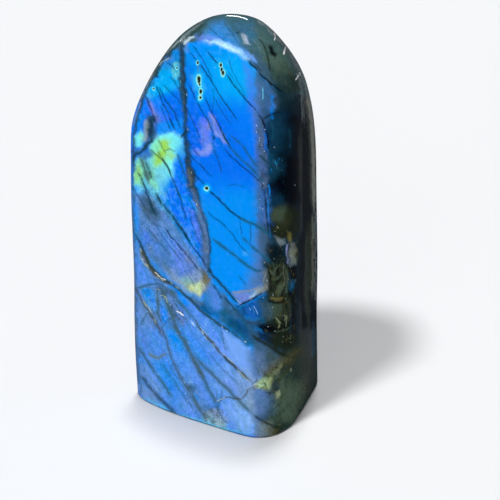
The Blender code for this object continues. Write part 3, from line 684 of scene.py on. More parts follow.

# Fine veins and cracks, and painted reflection streaks on the far side: tone, strength, half width in
# pixels, route
VEINS_AND_REFLECTION_STREAKS = (
    # right of the seam, above
    ("navy", 0.8, 0.35, ((185, 46), (192, 55), (197, 61), (203, 68), (211, 80), (217, 91), (224, 101),
        (228, 107), (235, 117), (240, 124))),
    ("navy", 0.85, 0.4, ((202, 45), (211, 56), (219, 65), (227, 75), (234, 85), (241, 94), (248, 102),
        (255, 109), (261, 116))),
    ("navy", 0.6, 0.3, ((191, 43), (197, 51), (203, 60), (208, 70), (213, 80))),
    ("navy", 0.7, 0.35, ((186, 79), (192, 91), (196, 99), (201, 109), (208, 121), (212, 131),
        (216, 140))),
    ("navy", 0.55, 0.3, ((187, 109), (192, 119), (196, 128), (200, 138))),
    ("navy", 0.75, 0.35, ((202, 92), (208, 104), (213, 115), (220, 127), (226, 140), (232, 149))),
    ("navy", 0.45, 0.3, ((214, 96), (219, 107), (226, 118), (232, 126))),
    ("navy", 0.4, 0.3, ((228, 56), (231, 68), (238, 82), (247, 96))),
    ("navy", 0.35, 0.3, ((213, 84), (214, 100), (212, 118))),
    ("teal", 0.8, 0.8, ((218, 124), (224, 136), (231, 148), (240, 158), (251, 168), (261, 179),
        (268, 186))),
    ("navy", 0.75, 0.4, ((222, 146), (230, 155), (239, 164), (249, 172), (257, 179), (263, 184))),
    ("teal", 0.75, 0.6, ((229, 134), (236, 140), (242, 145), (249, 155), (254, 163), (260, 170))),
    ("dark teal", 0.6, 0.4, ((213, 146), (217, 157), (220, 166), (222, 174))),
    ("navy", 0.55, 0.35, ((188, 152), (193, 159), (200, 165), (208, 173), (214, 178))),
    ("navy", 0.45, 0.3, ((189, 142), (194, 150), (201, 158))),
    # right of the seam, below
    ("navy", 0.9, 0.5, ((190, 170), (196, 176), (203, 183), (208, 190), (219, 199), (227, 208),
        (234, 214), (241, 219), (249, 222))),
    ("teal", 0.9, 0.9, ((238, 216), (246, 221), (254, 224), (261, 229), (268, 234), (274, 238))),
    ("navy", 0.55, 0.35, ((203, 206), (212, 216), (223, 224), (231, 232), (237, 241), (243, 249),
        (252, 257))),
    ("teal", 0.9, 0.9, ((209, 236), (218, 243), (229, 251), (240, 260), (249, 267), (257, 271),
        (266, 270))),
    ("teal", 0.75, 0.8, ((240, 235), (248, 243), (256, 250), (264, 257), (272, 262))),
    ("navy", 0.45, 0.3, ((240, 220), (241, 228), (242, 236))),
    ("dark teal", 0.5, 0.4, ((250, 222), (251, 234), (250, 246))),
    ("dark teal", 0.4, 0.4, ((238, 275), (243, 281), (247, 286))),
    ("navy", 0.35, 0.3, ((226, 186), (236, 184), (246, 188))),
    ("ink", 0.9, 0.5, ((245, 58), (251, 64), (257, 70), (262, 76), (267, 80), (275, 87), (281, 91),
        (287, 95))),
    ("navy", 0.6, 0.4, ((249, 58), (256, 65), (263, 72))),
    # left of the seam
    ("navy", 0.8, 0.45, ((155, 84), (157, 88), (160, 95), (163, 104), (168, 113), (173, 126),
        (177, 133))),
    ("navy", 0.7, 0.4, ((158, 84), (161, 91), (165, 100), (170, 106), (175, 113), (179, 125),
        (182, 132))),
    ("navy", 0.55, 0.35, ((161, 82), (168, 90), (174, 95), (179, 101), (182, 107))),
    ("navy", 0.75, 0.6, ((144, 94), (147, 99), (149, 104), (152, 112), (155, 120), (158, 130))),
    ("navy", 0.5, 0.35, ((160, 104), (164, 114), (168, 124), (171, 131))),
    ("navy", 0.5, 0.4, ((165, 61), (172, 66), (178, 74))),
    ("dark teal", 0.5, 0.4, ((170, 76), (175, 82), (180, 92))),
    # through the flash and down
    ("dark teal", 0.85, 0.45, ((147, 147), (152, 151), (156, 155), (164, 161), (168, 168), (172, 178))),
    ("dark teal", 0.85, 0.45, ((156, 148), (160, 155), (168, 167), (172, 177), (176, 188), (181, 200),
        (185, 215), (187, 226))),
    ("teal", 0.7, 0.6, ((176, 152), (179, 158), (181, 164), (184, 173), (187, 184))),
    ("dark teal", 0.45, 0.35, ((158, 138), (162, 147), (166, 154))),
    ("dark teal", 0.45, 0.4, ((164, 151), (170, 149), (176, 152))),
    ("dark teal", 0.9, 0.8, ((137, 170), (141, 178), (145, 188), (149, 199), (153, 210), (158, 218))),
    ("dark teal", 0.95, 1.0, ((154, 190), (157, 196), (161, 203), (169, 212), (176, 221), (184, 233),
        (191, 243))),
    ("moss", 0.7, 0.8, ((140, 157), (143, 165), (146, 174), (150, 183))),
    ("dark teal", 0.6, 0.7, ((145, 160), (149, 170), (152, 180))),
    ("navy", 0.5, 0.4, ((134, 190), (138, 196), (142, 203), (147, 210))),
    ("navy", 0.45, 0.35, ((188, 196), (193, 208), (199, 222), (203, 234), (205, 244))),
    ("navy", 0.5, 0.35, ((190, 214), (192, 224), (197, 236), (201, 246))),
    ("dark teal", 0.9, 0.8, ((180, 138), (183, 135), (186, 131))),
    # lens
    ("ink", 0.75, 0.45, ((162, 224), (167, 231), (172, 238), (177, 243), (181, 248), (186, 254),
        (191, 260), (197, 268), (200, 272))),
    ("ink", 0.75, 0.45, ((182, 230), (185, 235), (189, 241), (192, 246), (196, 251), (200, 256),
        (204, 262), (207, 268))),
    ("navy", 0.4, 0.4, ((146, 226), (154, 236), (164, 248), (172, 258))),
    ("navy", 0.35, 0.35, ((150, 218), (158, 228), (166, 242), (176, 254), (186, 266))),
    ("dull green", 0.85, 0.9, ((131, 224), (134, 231), (136, 236), (140, 243), (143, 250), (149, 263),
        (153, 269), (159, 275), (165, 280), (172, 284), (181, 291), (186, 296), (191, 300), (200, 310),
        (205, 314), (211, 318), (221, 326), (228, 329), (238, 337), (247, 344), (254, 350))),
    ("tan", 0.6, 1.4, ((139, 247), (144, 257), (150, 267), (156, 275), (164, 282))),
    ("olive", 0.8, 1.2, ((139, 246), (143, 254), (149, 265), (154, 273), (161, 279), (168, 283),
        (176, 286))),
    ("dark teal", 0.95, 0.8, ((207, 266), (210, 271), (213, 276), (221, 284), (228, 291), (234, 299),
        (240, 306))),
    ("navy", 0.7, 0.6, ((212, 284), (216, 289), (219, 293), (222, 300))),
    ("dark teal", 0.8, 0.6, ((224, 296), (229, 303), (234, 309), (240, 312))),
    ("navy", 0.95, 0.7, ((236, 308), (242, 304), (250, 300), (258, 296), (264, 291))),
    ("tan", 0.6, 0.4, ((230, 292), (237, 292.5), (244, 291), (251, 290.5), (258, 287), (264, 284))),
    # below the main crack
    ("dull green", 0.65, 1.3, ((139, 374), (144, 380), (148, 385), (155, 393), (163, 402), (173, 411),
        (180, 417))),
    ("grey green", 0.7, 1.1, ((137, 345), (140, 350), (148, 362), (156, 374), (163, 383), (169, 393),
        (175, 401))),
    ("moss", 0.6, 1.0, ((160, 326), (162, 330), (167, 341), (169, 351), (172, 358))),
    ("moss", 0.65, 1.2, ((168, 348), (175, 366), (181, 378), (188, 389), (197, 405), (203, 415),
        (207, 422))),
    ("moss", 0.75, 1.7, ((172, 320), (177, 330), (185, 342), (192, 357), (199, 370), (205, 383))),
    ("grey green", 0.7, 1.5, ((199, 368), (205, 382), (213, 397), (217, 404))),
    ("grey green", 0.75, 1.3, ((190, 352), (200, 362), (211, 373), (220, 382), (228, 389), (232, 394),
        (240, 402), (250, 412), (256, 416))),
    ("dark olive", 0.75, 0.8, ((252, 414), (259, 419), (268, 424), (274, 426), (280, 428))),
    ("olive", 0.85, 0.7, ((192, 318), (195, 320), (203, 333), (208, 338), (213, 343), (221, 354),
        (230, 362), (239, 370), (247, 378), (254, 384))),
    ("dull green", 0.7, 0.5, ((222, 356), (231, 364), (240, 373), (250, 382))),
    ("olive", 0.7, 0.9, ((135, 286), (137, 291), (143, 302), (148, 311), (155, 320), (159, 328),
        (163, 340))),
    ("pale moss", 0.7, 0.9, ((148, 352), (151, 355), (155, 357), (159, 358), (163, 355), (168, 352))),
    ("soft teal", 0.8, 0.7, ((136, 289), (141, 287), (152, 284), (158, 284), (166, 286))),
    ("grey green", 0.75, 0.9, ((158, 284), (157, 294), (158, 304), (158, 314), (163, 326))),
    ("grey green", 0.8, 1.1, ((161, 288), (163, 292), (165, 298), (168, 306), (172, 315), (177, 326))),
    ("grey green", 0.8, 1.2, ((168, 287), (174, 296), (181, 304), (188, 312), (195, 320))),
    ("soft teal", 0.6, 0.7, ((148, 311), (144, 318), (140, 326))),
    ("soft teal", 0.6, 0.6, ((172, 316), (166, 322), (160, 330))),
    ("slate", 0.5, 0.5, ((221, 328), (223, 338), (225, 352))),
    ("olive", 0.7, 0.5, ((213, 405), (218, 401), (223, 398), (228, 397), (236, 399), (241, 399),
        (246, 395), (248, 390), (253, 387))),
    ("soft teal", 0.6, 0.5, ((222, 388), (222, 396), (217, 408), (222, 418), (230, 426))),
    ("soft teal", 0.5, 0.6, ((160, 360), (168, 372), (178, 388), (188, 402), (196, 414))),
    ("soft teal", 0.45, 0.5, ((208, 352), (218, 364), (230, 376), (240, 386))),
    ("grey brown", 0.6, 0.45, ((198, 64), (198.2, 69), (198.6, 75))),
    # the corner and its far facet
    ("ink", 0.85, 0.6, ((256, 110), (263, 121), (266, 130), (268, 139), (269, 152))),
    ("ink", 0.6, 0.5, ((262, 120), (268, 116), (276, 112), (284, 112))),
    ("dark teal", 0.7, 0.6, ((258, 154), (264, 160), (269, 164), (275, 168))),
    ("navy", 0.7, 0.6, ((261, 179), (264, 190), (266, 204), (267, 222), (270, 238))),
    ("dark olive", 0.85, 1.1, ((250, 334), (257, 339), (268, 345), (280, 353), (290, 357))),
    ("olive", 0.5, 0.6, ((268, 277), (275, 269), (283, 264), (288, 269), (287, 278), (282, 284),
        (274, 284))),
    ("pale moss", 0.35, 0.6, ((268, 268), (273, 274), (277, 268), (281, 262))),
    ("pale moss", 0.3, 0.6, ((272, 281), (278, 278), (284, 270))),
    ("moss", 0.6, 0.6, ((274, 332), (280, 331.6), (286, 330), (291, 327))),
    ("olive", 0.8, 0.6, ((279, 308), (281, 314), (277, 321), (281, 326))),
    ("olive", 0.8, 0.6, ((285, 300), (284, 308), (287, 316), (285, 324))),
    ("olive", 0.5, 0.4, ((276, 322), (280, 319), (283, 322))),
    ("olive", 0.7, 0.7, ((276, 385), (282, 376), (288, 369), (294, 361))),
    ("teal", 0.3, 0.8, ((271, 120), (273, 130), (272.4, 142))),
    ("teal", 0.25, 0.7, ((289, 128), (290.4, 138), (290, 150))),
    ("soft teal", 0.4, 0.6, ((273, 158), (275, 164), (278, 170))),
    # painted reflections: grey-brown streaks down the far side
    ("grey brown", 0.25, 0.6, ((299, 130), (299.6, 160), (299.4, 200))),
    ("grey brown", 0.35, 0.8, ((305, 240), (306, 262), (305.4, 290), (306, 320))),
    ("grey brown", 0.3, 0.6, ((300, 300), (301, 320), (300.4, 344))),
    ("grey brown", 0.3, 0.8, ((310, 300), (309, 324), (310, 350), (308, 380))),
    # in the olive mineral
    ("ink", 0.8, 0.8, ((268, 266), (270.6, 275), (269.6, 285), (272.4, 293))),
    ("ink", 0.7, 0.7, ((280, 262), (277.4, 269), (279, 279), (276.4, 287))),
    ("ink", 0.7, 0.8, ((267, 300), (275, 303), (284, 301.6))),
    ("ink", 0.8, 0.8, ((284, 287), (281.4, 296), (285, 305), (283.6, 316))),
    ("ink", 0.6, 0.6, ((272, 322), (277, 318), (282, 322), (287, 318))),
    ("moss", 0.7, 0.5, ((272.4, 262), (275, 270), (273.4, 279))),
    ("tan", 0.4, 0.3, ((284, 262), (283, 271), (285, 281), (282.6, 289))),
    ("pale moss", 0.5, 0.5, ((285.4, 268), (288, 276), (286.4, 286), (288, 296))),
    ("old gold", 0.55, 0.6, ((269, 297), (277, 299.4), (284, 297.6))),
    ("olive", 0.7, 0.7, ((288.4, 300), (290, 311), (288.2, 323))),
    ("pale gold", 0.4, 0.3, ((275.4, 317), (280, 323), (278.2, 329))),
    ("pale gold", 0.4, 0.3, ((284, 322), (286.8, 316), (286, 328))),
    # crown
    ("dark olive", 0.75, 0.6, ((257, 37), (262, 42), (265, 47), (268, 58), (269, 66), (271, 73))),
    ("dark teal", 0.4, 0.4, ((222, 20), (228, 28), (234, 36), (238, 44))),
    ("dark teal", 0.4, 0.4, ((208, 26), (216, 34), (226, 42))),
    ("silver", 0.12, 0.3, ((250, 38), (256, 42), (260, 48), (261, 54))),
    # painted reflections: pale streaks on the rounded corner of the far side
    ("silver", 0.35, 0.5, ((296, 70), (299, 78), (301, 88), (302, 104), (302.6, 128))),
    ("tan", 0.12, 0.4, ((301, 120), (301.4, 150), (301.6, 200), (301.4, 240))),
    ("silver", 0.2, 0.4, ((300, 78), (303, 92), (304, 110), (304.6, 130))),
    ("tan", 0.9, 1.3, ((305, 92), (309, 106), (311.6, 122), (313, 150), (313.8, 190), (314, 214))),
    ("tan", 0.45, 0.8, ((312.4, 206), (312.6, 240), (313, 270), (312, 300))),
    ("moss", 0.5, 1.0, ((306, 228), (307, 256), (307, 290), (308, 330))),
    ("slate", 0.4, 0.7, ((313, 318), (313.6, 330), (313, 346), (312, 362))),
)

# Short bright marks: flecks in the stone, and painted highlights on the crown's rims: tone, strength,
# half width, route
FLECKS_AND_HIGHLIGHTS = (
    ("white", 0.9, 0.2, ((154, 271.7), (158, 274.6), (162, 278), (166.7, 281))),
    ("pale gold", 0.6, 0.2, ((156, 275.4), (160, 278.4), (164, 281.4))),
    ("pale gold", 0.6, 0.4, ((140, 257), (144, 263), (149, 269))),
    ("white", 0.95, 0.45, ((176, 311), (180, 313), (184, 315.7))),
    ("frost", 0.7, 0.3, ((192, 322), (195, 325))),
    ("pale cyan", 0.5, 0.25, ((178.6, 66), (179, 69), (178.4, 72))),
    ("pale cyan", 0.5, 0.25, ((180, 80), (180.6, 84))),
    ("frost", 0.5, 0.22, ((186.4, 94), (186.8, 96.4))),
    ("frost", 0.4, 0.22, ((187.6, 128), (188, 131))),
    ("frost", 0.6, 0.25, ((196, 203), (197, 206))),
    ("pale gold", 0.5, 0.25, ((191, 171), (192, 174))),
    ("pale gold", 0.7, 0.3, ((139.6, 248), (142, 252))),
    ("pale gold", 0.6, 0.3, ((146, 263), (148.6, 266))),
    ("frost", 0.6, 0.25, ((141.6, 258), (143.6, 261))),
    ("pale gold", 0.6, 0.3, ((164, 284), (167, 286))),
    ("pale gold", 0.6, 0.3, ((170, 282), (173, 284.6))),
    ("pale gold", 0.6, 0.3, ((175, 286), (179, 289))),
    ("frost", 0.6, 0.25, ((207, 318), (209, 319.6))),
    ("cream", 0.8, 0.3, ((189, 290), (191, 288), (194, 289))),
    ("frost", 0.7, 0.25, ((195, 286), (197, 288), (196, 291))),
    ("pale gold", 0.6, 0.3, ((159, 296), (163, 295), (167, 298))),
    ("pale gold", 0.6, 0.25, ((157, 288), (160, 290))),
    ("cream", 0.6, 0.3, ((148, 306), (150, 310), (151, 313))),
    ("pale gold", 0.5, 0.3, ((154, 319), (157, 324))),
    ("frost", 0.5, 0.25, ((190, 320), (193, 325), (196, 327))),
    ("frost", 0.5, 0.22, ((200, 327), (204, 332), (208, 336))),
    ("frost", 0.6, 0.25, ((226, 330), (228, 331.6))),
    ("frost", 0.6, 0.25, ((188, 342), (190, 343))),
    ("pale gold", 0.6, 0.3, ((154, 318), (156, 321))),
    ("pale gold", 0.6, 0.3, ((205, 336), (208, 340))),
    ("frost", 0.5, 0.25, ((212, 330), (214, 331))),
    ("milk blue", 0.6, 0.3, ((204, 322), (207, 326))),
    ("milk blue", 0.6, 0.3, ((197, 328), (199, 332))),
    ("milk blue", 0.5, 0.3, ((188, 384), (190, 382), (194, 382.6))),
    ("milk blue", 0.5, 0.3, ((183, 379), (185, 384))),
    ("milk blue", 0.45, 0.3, ((150, 380), (154, 386), (158, 392))),
    ("frost", 0.6, 0.3, ((201, 330), (203, 335))),
    ("pale gold", 0.6, 0.4, ((213, 343), (215, 347))),
    ("pale gold", 0.7, 0.5, ((143, 301), (145, 304), (147, 308))),
    ("pale gold", 0.7, 0.5, ((163.6, 296), (166, 299), (167.6, 303))),
    # painted highlights: white glints where the crown's right rim catches the light
    ("white", 1.0, 0.5, ((273.8, 32), (275.4, 36), (274.2, 41))),
    ("white", 1.0, 0.65, ((285.4, 46), (284.6, 50), (283.2, 55))),
    ("white", 1.0, 0.5, ((299.6, 74.6), (297.6, 77), (295, 80.8))),
    ("white", 0.9, 0.45, ((298.6, 71.6), (300, 73.6), (300.6, 75.6))),
    # painted highlights: a frost glint on the crown's left shoulder, and silver glints along its left
    # rim
    ("frost", 0.55, 1.3, ((182.7, 44.6), (186, 41.4), (190, 38.4), (196, 35.8))),
    ("silver", 0.8, 0.5, ((158.7, 66.7), (161.5, 62.5), (165.3, 59.6), (170, 57.4))),
    ("silver", 0.6, 0.4, ((172, 49), (178, 42), (186, 35))),
    ("silver", 0.5, 0.4, ((146, 88), (150, 80), (154, 72))),
    ("frost", 0.7, 0.3, ((256, 124.8), (257.6, 126))),
    ("haze blue", 0.6, 0.3, ((246, 54), (250, 58.6), (254, 63))),
    ("haze blue", 0.5, 0.3, ((249, 54), (253, 58), (257, 63))),
    ("pale cyan", 0.8, 0.35, ((262.6, 86), (263, 93), (262.6, 101))),
    ("azure", 0.9, 0.5, ((268.6, 184), (269.4, 190), (269.6, 197))),
    ("cyan blue", 0.8, 0.3, ((275, 160), (276, 163), (277, 165))),
    ("azure", 0.7, 0.25, ((279, 158), (280, 161))),
    ("azure", 0.6, 0.25, ((271, 168), (271.6, 172))),
    ("azure", 0.75, 0.35, ((267.6, 199), (268.2, 210), (268.8, 223))),
    ("azure", 0.5, 0.3, ((269, 224), (269.6, 232), (270, 240))),
    ("frost", 0.7, 0.2, ((294.3, 184), (295, 185.6))),
    ("pale gold", 0.7, 0.3, ((277, 226), (279, 228.6))),
    ("pale gold", 0.6, 0.25, ((274, 231), (276, 232))),
    ("frost", 0.5, 0.3, ((274, 146), (275.2, 147.6))),
    ("frost", 0.6, 0.25, ((250, 300), (253, 297), (256, 293))),
    ("milk blue", 0.8, 0.25, ((253, 305), (256, 309.6), (258.6, 315))),
    ("milk blue", 0.5, 0.25, ((249, 307), (251, 310.6))),
    ("pale gold", 0.35, 0.25, ((263, 282), (265, 277), (266.6, 271))),
    ("silver", 0.5, 0.25, ((266, 284), (267, 288), (266.6, 292))),
    ("frost", 0.4, 0.25, ((235, 299), (239, 302), (242, 304))),
    ("pale gold", 0.7, 0.35, ((222, 352), (228, 358), (234, 364))),
    ("pale gold", 0.7, 0.35, ((236, 369), (243, 376), (250, 382))),
    ("frost", 0.5, 0.3, ((252, 386), (257, 384), (262, 386))),
    ("frost", 0.6, 0.35, ((221, 326), (223, 327.6))),
    ("frost", 0.6, 0.35, ((244, 341), (246, 342.4))),
    ("frost", 0.6, 0.3, ((216, 402), (220, 399.4), (226, 397))),
)

# Black pits with a bright halo: centre, half length along the drop, half width, in pixels
PITS = (
    ((220.6, 65), 1.6, 1.2),
    ((221.6, 69.4), 1.8, 1.0),
    ((222.8, 73), 2.2, 1.4),
    ((197.6, 62.6), 1.3, 0.8),
    ((198.8, 80), 3.4, 1.6),
    ((199.6, 85), 1.2, 0.9),
    ((201, 91.5), 2.2, 1.2),
    ((200, 97.6), 1.8, 1.2),
    ((206.6, 188.6), 1.5, 1.5),
    ((176.4, 68), 1.2, 0.6),
    ((175.4, 75), 1.0, 0.6),
    ((153.6, 88.8), 1.0, 0.8),
)


def linear(name):
    """A named tone in linear light."""
    srgb = np.array(PALETTE[name]) / 255
    return np.where(srgb <= 0.04045, srgb / 12.92, ((srgb + 0.055) / 1.055) ** 2.4)


def run_distance(points, start, end):
    """Distance from each point to a straight run, and how far along the run it is, from 0 to 1."""
    along = end - start
    share = np.clip((points - start) @ along / (along @ along), 0, 1)
    return np.linalg.norm(points - start - share[:, None] * along, axis=1), share


def near(points, outline, margin):
    """Which points lie in the box round some corners, plus a margin."""
    corners = np.array(outline, float)[:, :2]
    return ((points > corners.min(0) - margin) & (points < corners.max(0) + margin)).all(1)


def signed_distance(points, outline):
    """Distance from each point to a closed outline, positive inside."""
    corners = np.array(outline, float)
    inside = np.zeros(len(points), bool)
    nearest = np.full(len(points), np.inf)
    for start, end in zip(corners, np.roll(corners, -1, axis=0)):
        nearest = np.minimum(nearest, run_distance(points, start, end)[0])
        crosses = (start[1] > points[:, 1]) != (end[1] > points[:, 1])
        slope = (end[0] - start[0]) / (end[1] - start[1] or 1e-9)
        inside ^= crosses & (points[:, 0] < start[0] + (points[:, 1] - start[1]) * slope)
    return np.where(inside, nearest, -nearest)


def band_depth(points, route):
    """How deep each point is in a band of changing width, negative outside it."""
    stops = np.array(route, float)
    deepest = np.full(len(points), -np.inf)
    for start, end in zip(stops[:-1], stops[1:]):
        away, share = run_distance(points, start[:2], end[:2])
        deepest = np.maximum(deepest, start[2] + (end[2] - start[2]) * share - away)
    return deepest


def route_distance(points, route):
    """Distance from each point to a line of straight runs, how far along it, and on which side."""
    stops = np.array(route, float)
    nearest = np.full(len(points), np.inf)
    along = np.zeros(len(points))
    side = np.ones(len(points))
    for number, (start, end) in enumerate(zip(stops[:-1], stops[1:])):
        away, share = run_distance(points, start, end)
        closer = away < nearest
        nearest[closer] = away[closer]
        along[closer] = (number + share[closer]) / (len(stops) - 1)
        run = end - start
        out = points[closer] - start
        side[closer] = np.where(run[0] * out[:, 1] - run[1] * out[:, 0] < 0, -1, 1)
    return nearest, along, side


def step(value, low, high):
    """A smooth change from 0 to 1 as a value goes from low to high."""
    t = np.clip((value - low) / (high - low), 0, 1)
    return t * t * (3 - 2 * t)


def cloud(points, size, seed):
    """Smooth noise from -1 to 1 whose lumps are about this size."""
    lattice = np.random.default_rng(seed).uniform(-1, 1, (LATTICE, LATTICE))
    place = points / size
    cell = np.floor(place).astype(int)
    part = place - cell
    part = part * part * (3 - 2 * part)
    total = 0
    for dx in (0, 1):
        for dy in (0, 1):
            share = (part[:, 0] if dx else 1 - part[:, 0]) * (part[:, 1] if dy else 1 - part[:, 1])
            total = total + share * lattice[(cell[:, 0] + dx) % LATTICE, (cell[:, 1] + dy) % LATTICE]
    return total


def waver(points, size, reach, seed):
    """A push for each point, by smooth noise."""
    return reach * np.stack([cloud(points, size, seed), cloud(points, size, seed + 1)], 1)


def lay(colour, points, name, strength, soft, outline, depth):
    """One coat of colour over what is there, in the points that it can reach."""
    reached = near(points, outline, soft + WAVER_MARGIN)
    share = strength * step(depth(points[reached], outline), -soft, soft)[:, None]
    colour[reached] = colour[reached] * (1 - share) + linear(name) * share


def paint(pixels):
    """Linear colour at each point of the picture frame."""
    ragged = pixels + waver(pixels, *COARSE_WAVER) + waver(pixels, *FINE_WAVER)
    colour = np.tile(linear("azure"), (len(pixels), 1))
    for name, strength, soft, outline in FIELD + FLASH + VIOLETS + LENS + LOWER + RIGHT + DOME + STREAKS:
        lay(colour, ragged, name, strength, soft, outline, signed_distance)
    for name, strength, soft, route in BANDS:
        lay(colour, ragged, name, strength, soft, route, band_depth)
    return colour


def vein_layers(pixels):
    """For each layer of veins, among them painted reflection streaks on the far side, and last for the
    bright flecks and painted highlights, the tone of the nearest one at each point, and how far it is,
    with its strength and half width. The distance has a sign, so that a thin line stays whole between
    points."""
    wavering = pixels + waver(pixels, *VEIN_WAVER)
    layers = []
    for drawn in [VEINS_AND_REFLECTION_STREAKS[number::VEIN_LAYERS] for number in range(VEIN_LAYERS)] + [FLECKS_AND_HIGHLIGHTS]:
        lines = np.tile(NO_VEIN, (len(pixels), 1))
        tone = np.zeros((len(pixels), 3))
        for name, strength, half, route in drawn:
            reached = np.flatnonzero(near(wavering, route, VEIN_MARGIN))
            distance, along, side = route_distance(wavering[reached], route)
            closer = distance < abs(lines[reached, 0])
            found = reached[closer]
            taper = step(np.minimum(along, 1 - along), *VEIN_TAPER)[closer]
            fade = step(-distance[closer], *VEIN_FADE)
            widths = half * (VEIN_END + (1 - VEIN_END) * taper)
            lines[found] = np.stack([(distance * side)[closer], strength * taper * fade, widths], 1)
            tone[found] = linear(name)
        layers.append((tone, lines))
    return layers


def pit_field(pixels):
    """Distance from each point to the nearest pit, as a share of that pit's size."""
    across, down = (pixels + waver(pixels, *PIT_WAVER)).T
    away = [np.hypot((across - x) / wide, (down - y) / tall) for (x, y), tall, wide in PITS]
    return np.minimum(np.min(away, axis=0), PIT_FAR)


def character(pixels):
    """How streaked, how mottled and how sparkling the stone is at each point."""
    kinds = tuple(PLAIN_CHARACTER)
    values = np.tile(tuple(PLAIN_CHARACTER.values()), (len(pixels), 1))
    ragged = pixels + waver(pixels, *CHARACTER_WAVER)
    for kind, amount, soft, outline in CHARACTER:
        reached = near(ragged, outline, soft + WAVER_MARGIN)
        share = step(signed_distance(ragged[reached], outline), -soft, soft)
        column = kinds.index(kind)
        values[reached, column] += (amount - values[reached, column]) * share
    return values


def direction(azimuth, elevation):
    """The way out from the stone, in degrees round from the front and above the horizon."""
    turn = math.radians(azimuth)
    rise = math.radians(elevation)
    return Vector((math.sin(turn) * math.cos(rise), -math.cos(turn) * math.cos(rise), math.sin(rise)))


def slopes(pixel):
    """How far a pixel lies to the right of the picture's middle and above it, per unit of depth."""
    return (pixel[0] - FRAME_PIXELS / 2) / FOCAL_PIXELS, (FRAME_PIXELS / 2 - pixel[1]) / FOCAL_PIXELS


def camera_axes():
    """Where the camera is, and its right, up and forward directions."""
    turn = math.radians(VIEW_AZIMUTH)
    back = direction(VIEW_AZIMUTH, VIEW_ELEVATION)
    right = Vector((math.cos(turn), math.sin(turn), 0))
    up = back.cross(right)
    aside, above = slopes(AIM_PIXEL)
    forward = (-back - right * aside - up * above).normalized()
    level = forward.cross(Vector((0, 0, 1))).normalized()
    return AIM + back * VIEW_DISTANCE, level, level.cross(forward), forward


def to_pixels(points):
    """Where points of the stone show in the picture."""
    place, right, up, forward = (np.array(axis) for axis in camera_axes())
    out = points - place
    depth = out @ forward
    across = FRAME_PIXELS / 2 + FOCAL_PIXELS * (out @ right) / depth
    down = FRAME_PIXELS / 2 - FOCAL_PIXELS * (out @ up) / depth
    return np.stack([across, down], 1)


def surface_under(tree, pixel):
    """The point of the stone that a pixel of the picture shows."""
    place, right, up, forward = camera_axes()
    aside, above = slopes(pixel)
    return tree.ray_cast(place, forward + right * aside + up * above)[0]


def facing_camera(points, normals):
    """How squarely each point of the surface faces the camera, from 1 to below 0."""
    towards = np.array(camera_axes()[0]) - points
    return (normals * towards).sum(1) / np.linalg.norm(towards, axis=1)


def linked(name, data):
    """A new object in the scene."""
    made = bpy.data.objects.new(name, data)
    bpy.context.scene.collection.objects.link(made)
    return made


def merged_stone():
    """The solid's surface as one net, with the edges of its foot creased."""
    stone = bmesh.new()
    stone.from_mesh(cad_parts[STONE_NODE].data)
    bmesh.ops.remove_doubles(stone, verts=stone.verts, dist=MERGE_DISTANCE)
    bmesh.ops.join_triangles(
        stone,
        faces=stone.faces[:],
        angle_face_threshold=math.radians(FLAT_ANGLE),
        angle_shape_threshold=math.radians(SQUARE_ANGLE),
    )
    creases = stone.edges.layers.float.new("crease_edge")
    for edge in stone.edges:
        if edge.calc_face_angle(0) > math.radians(CREASE_ANGLE):
            edge[creases] = 1
    return stone


def rounded_copy(levels):
    """The merged surface, rounded and divided this many times."""
    stone = merged_stone()
    mesh = bpy.data.meshes.new("stone")
    stone.to_mesh(mesh)
    stone.free()
    carrier = linked("stone", mesh)
    rounding = carrier.modifiers.new("rounding", "SUBSURF")
    rounding.levels = levels
    rounding.render_levels = levels
    graph = bpy.context.evaluated_depsgraph_get()
    rounded = bmesh.new()
    rounded.from_mesh(bpy.data.meshes.new_from_object(carrier.evaluated_get(graph)))
    bpy.data.objects.remove(carrier)
    return rounded


def closer_net(net, faces, tree):
    """Halves the edges of these faces, and puts the new inner points on the rounded surface."""
    edges = dict.fromkeys(edge for face in faces for edge in face.edges)
    made = bmesh.ops.subdivide_edges(net, edges=list(edges), cuts=1, use_grid_fill=True)
    for part in made["geom_inner"]:
        if isinstance(part, bmesh.types.BMVert):
            part.co = tree.find_nearest(part.co)[0]


def net_arrays(net):
    """The places and the normals of a net's points."""
    net.verts.index_update()
    net.normal_update()
    places = np.array([vertex.co[:] for vertex in net.verts])
    return places, np.array([vertex.normal[:] for vertex in net.verts])


def faces_in_view(net):
    """The faces that the camera may see."""
    in_view = facing_camera(*net_arrays(net)) > SIDE_IN_VIEW
    return [face for face in net.faces if any(in_view[vertex.index] for vertex in face.verts)]


def faces_with_marks(net):
    """The faces in view that a vein crosses, or where the colour changes fast."""
    points, normals = net_arrays(net)
    in_view = facing_camera(points, normals) > MARKS_IN_VIEW
    pixels = to_pixels(points)
    colour = paint(pixels) ** CONTRAST_GAMMA
    veined = np.min([abs(lines[:, 0]) for _, lines in vein_layers(pixels)], axis=0) < VEIN_REACH
    marked = []
    for face in net.faces:
        corners = [vertex.index for vertex in face.verts]
        if in_view[corners].any() and (
            veined[corners].any() or np.ptp(colour[corners], axis=0).max() > COLOUR_CONTRAST
        ):
            marked.append(face)
    return marked


def faces_round(net, middle):
    """The faces round a pit's middle."""
    return [face for face in net.faces if (face.calc_center_median() - middle).length < PIT_MESH_REACH]


def fine_stone_mesh():
    """An even net, closer on the side in view, and closer still where the marks are fine."""
    smooth = rounded_copy(ROUND_LEVELS)
    tree = BVHTree.FromBMesh(smooth)
    smooth.free()
    net = rounded_copy(1)
    closer_net(net, faces_in_view(net), tree)
    closer_net(net, faces_with_marks(net), tree)
    for centre, _, _ in PITS:
        closer_net(net, faces_round(net, surface_under(tree, centre)), tree)
    return net


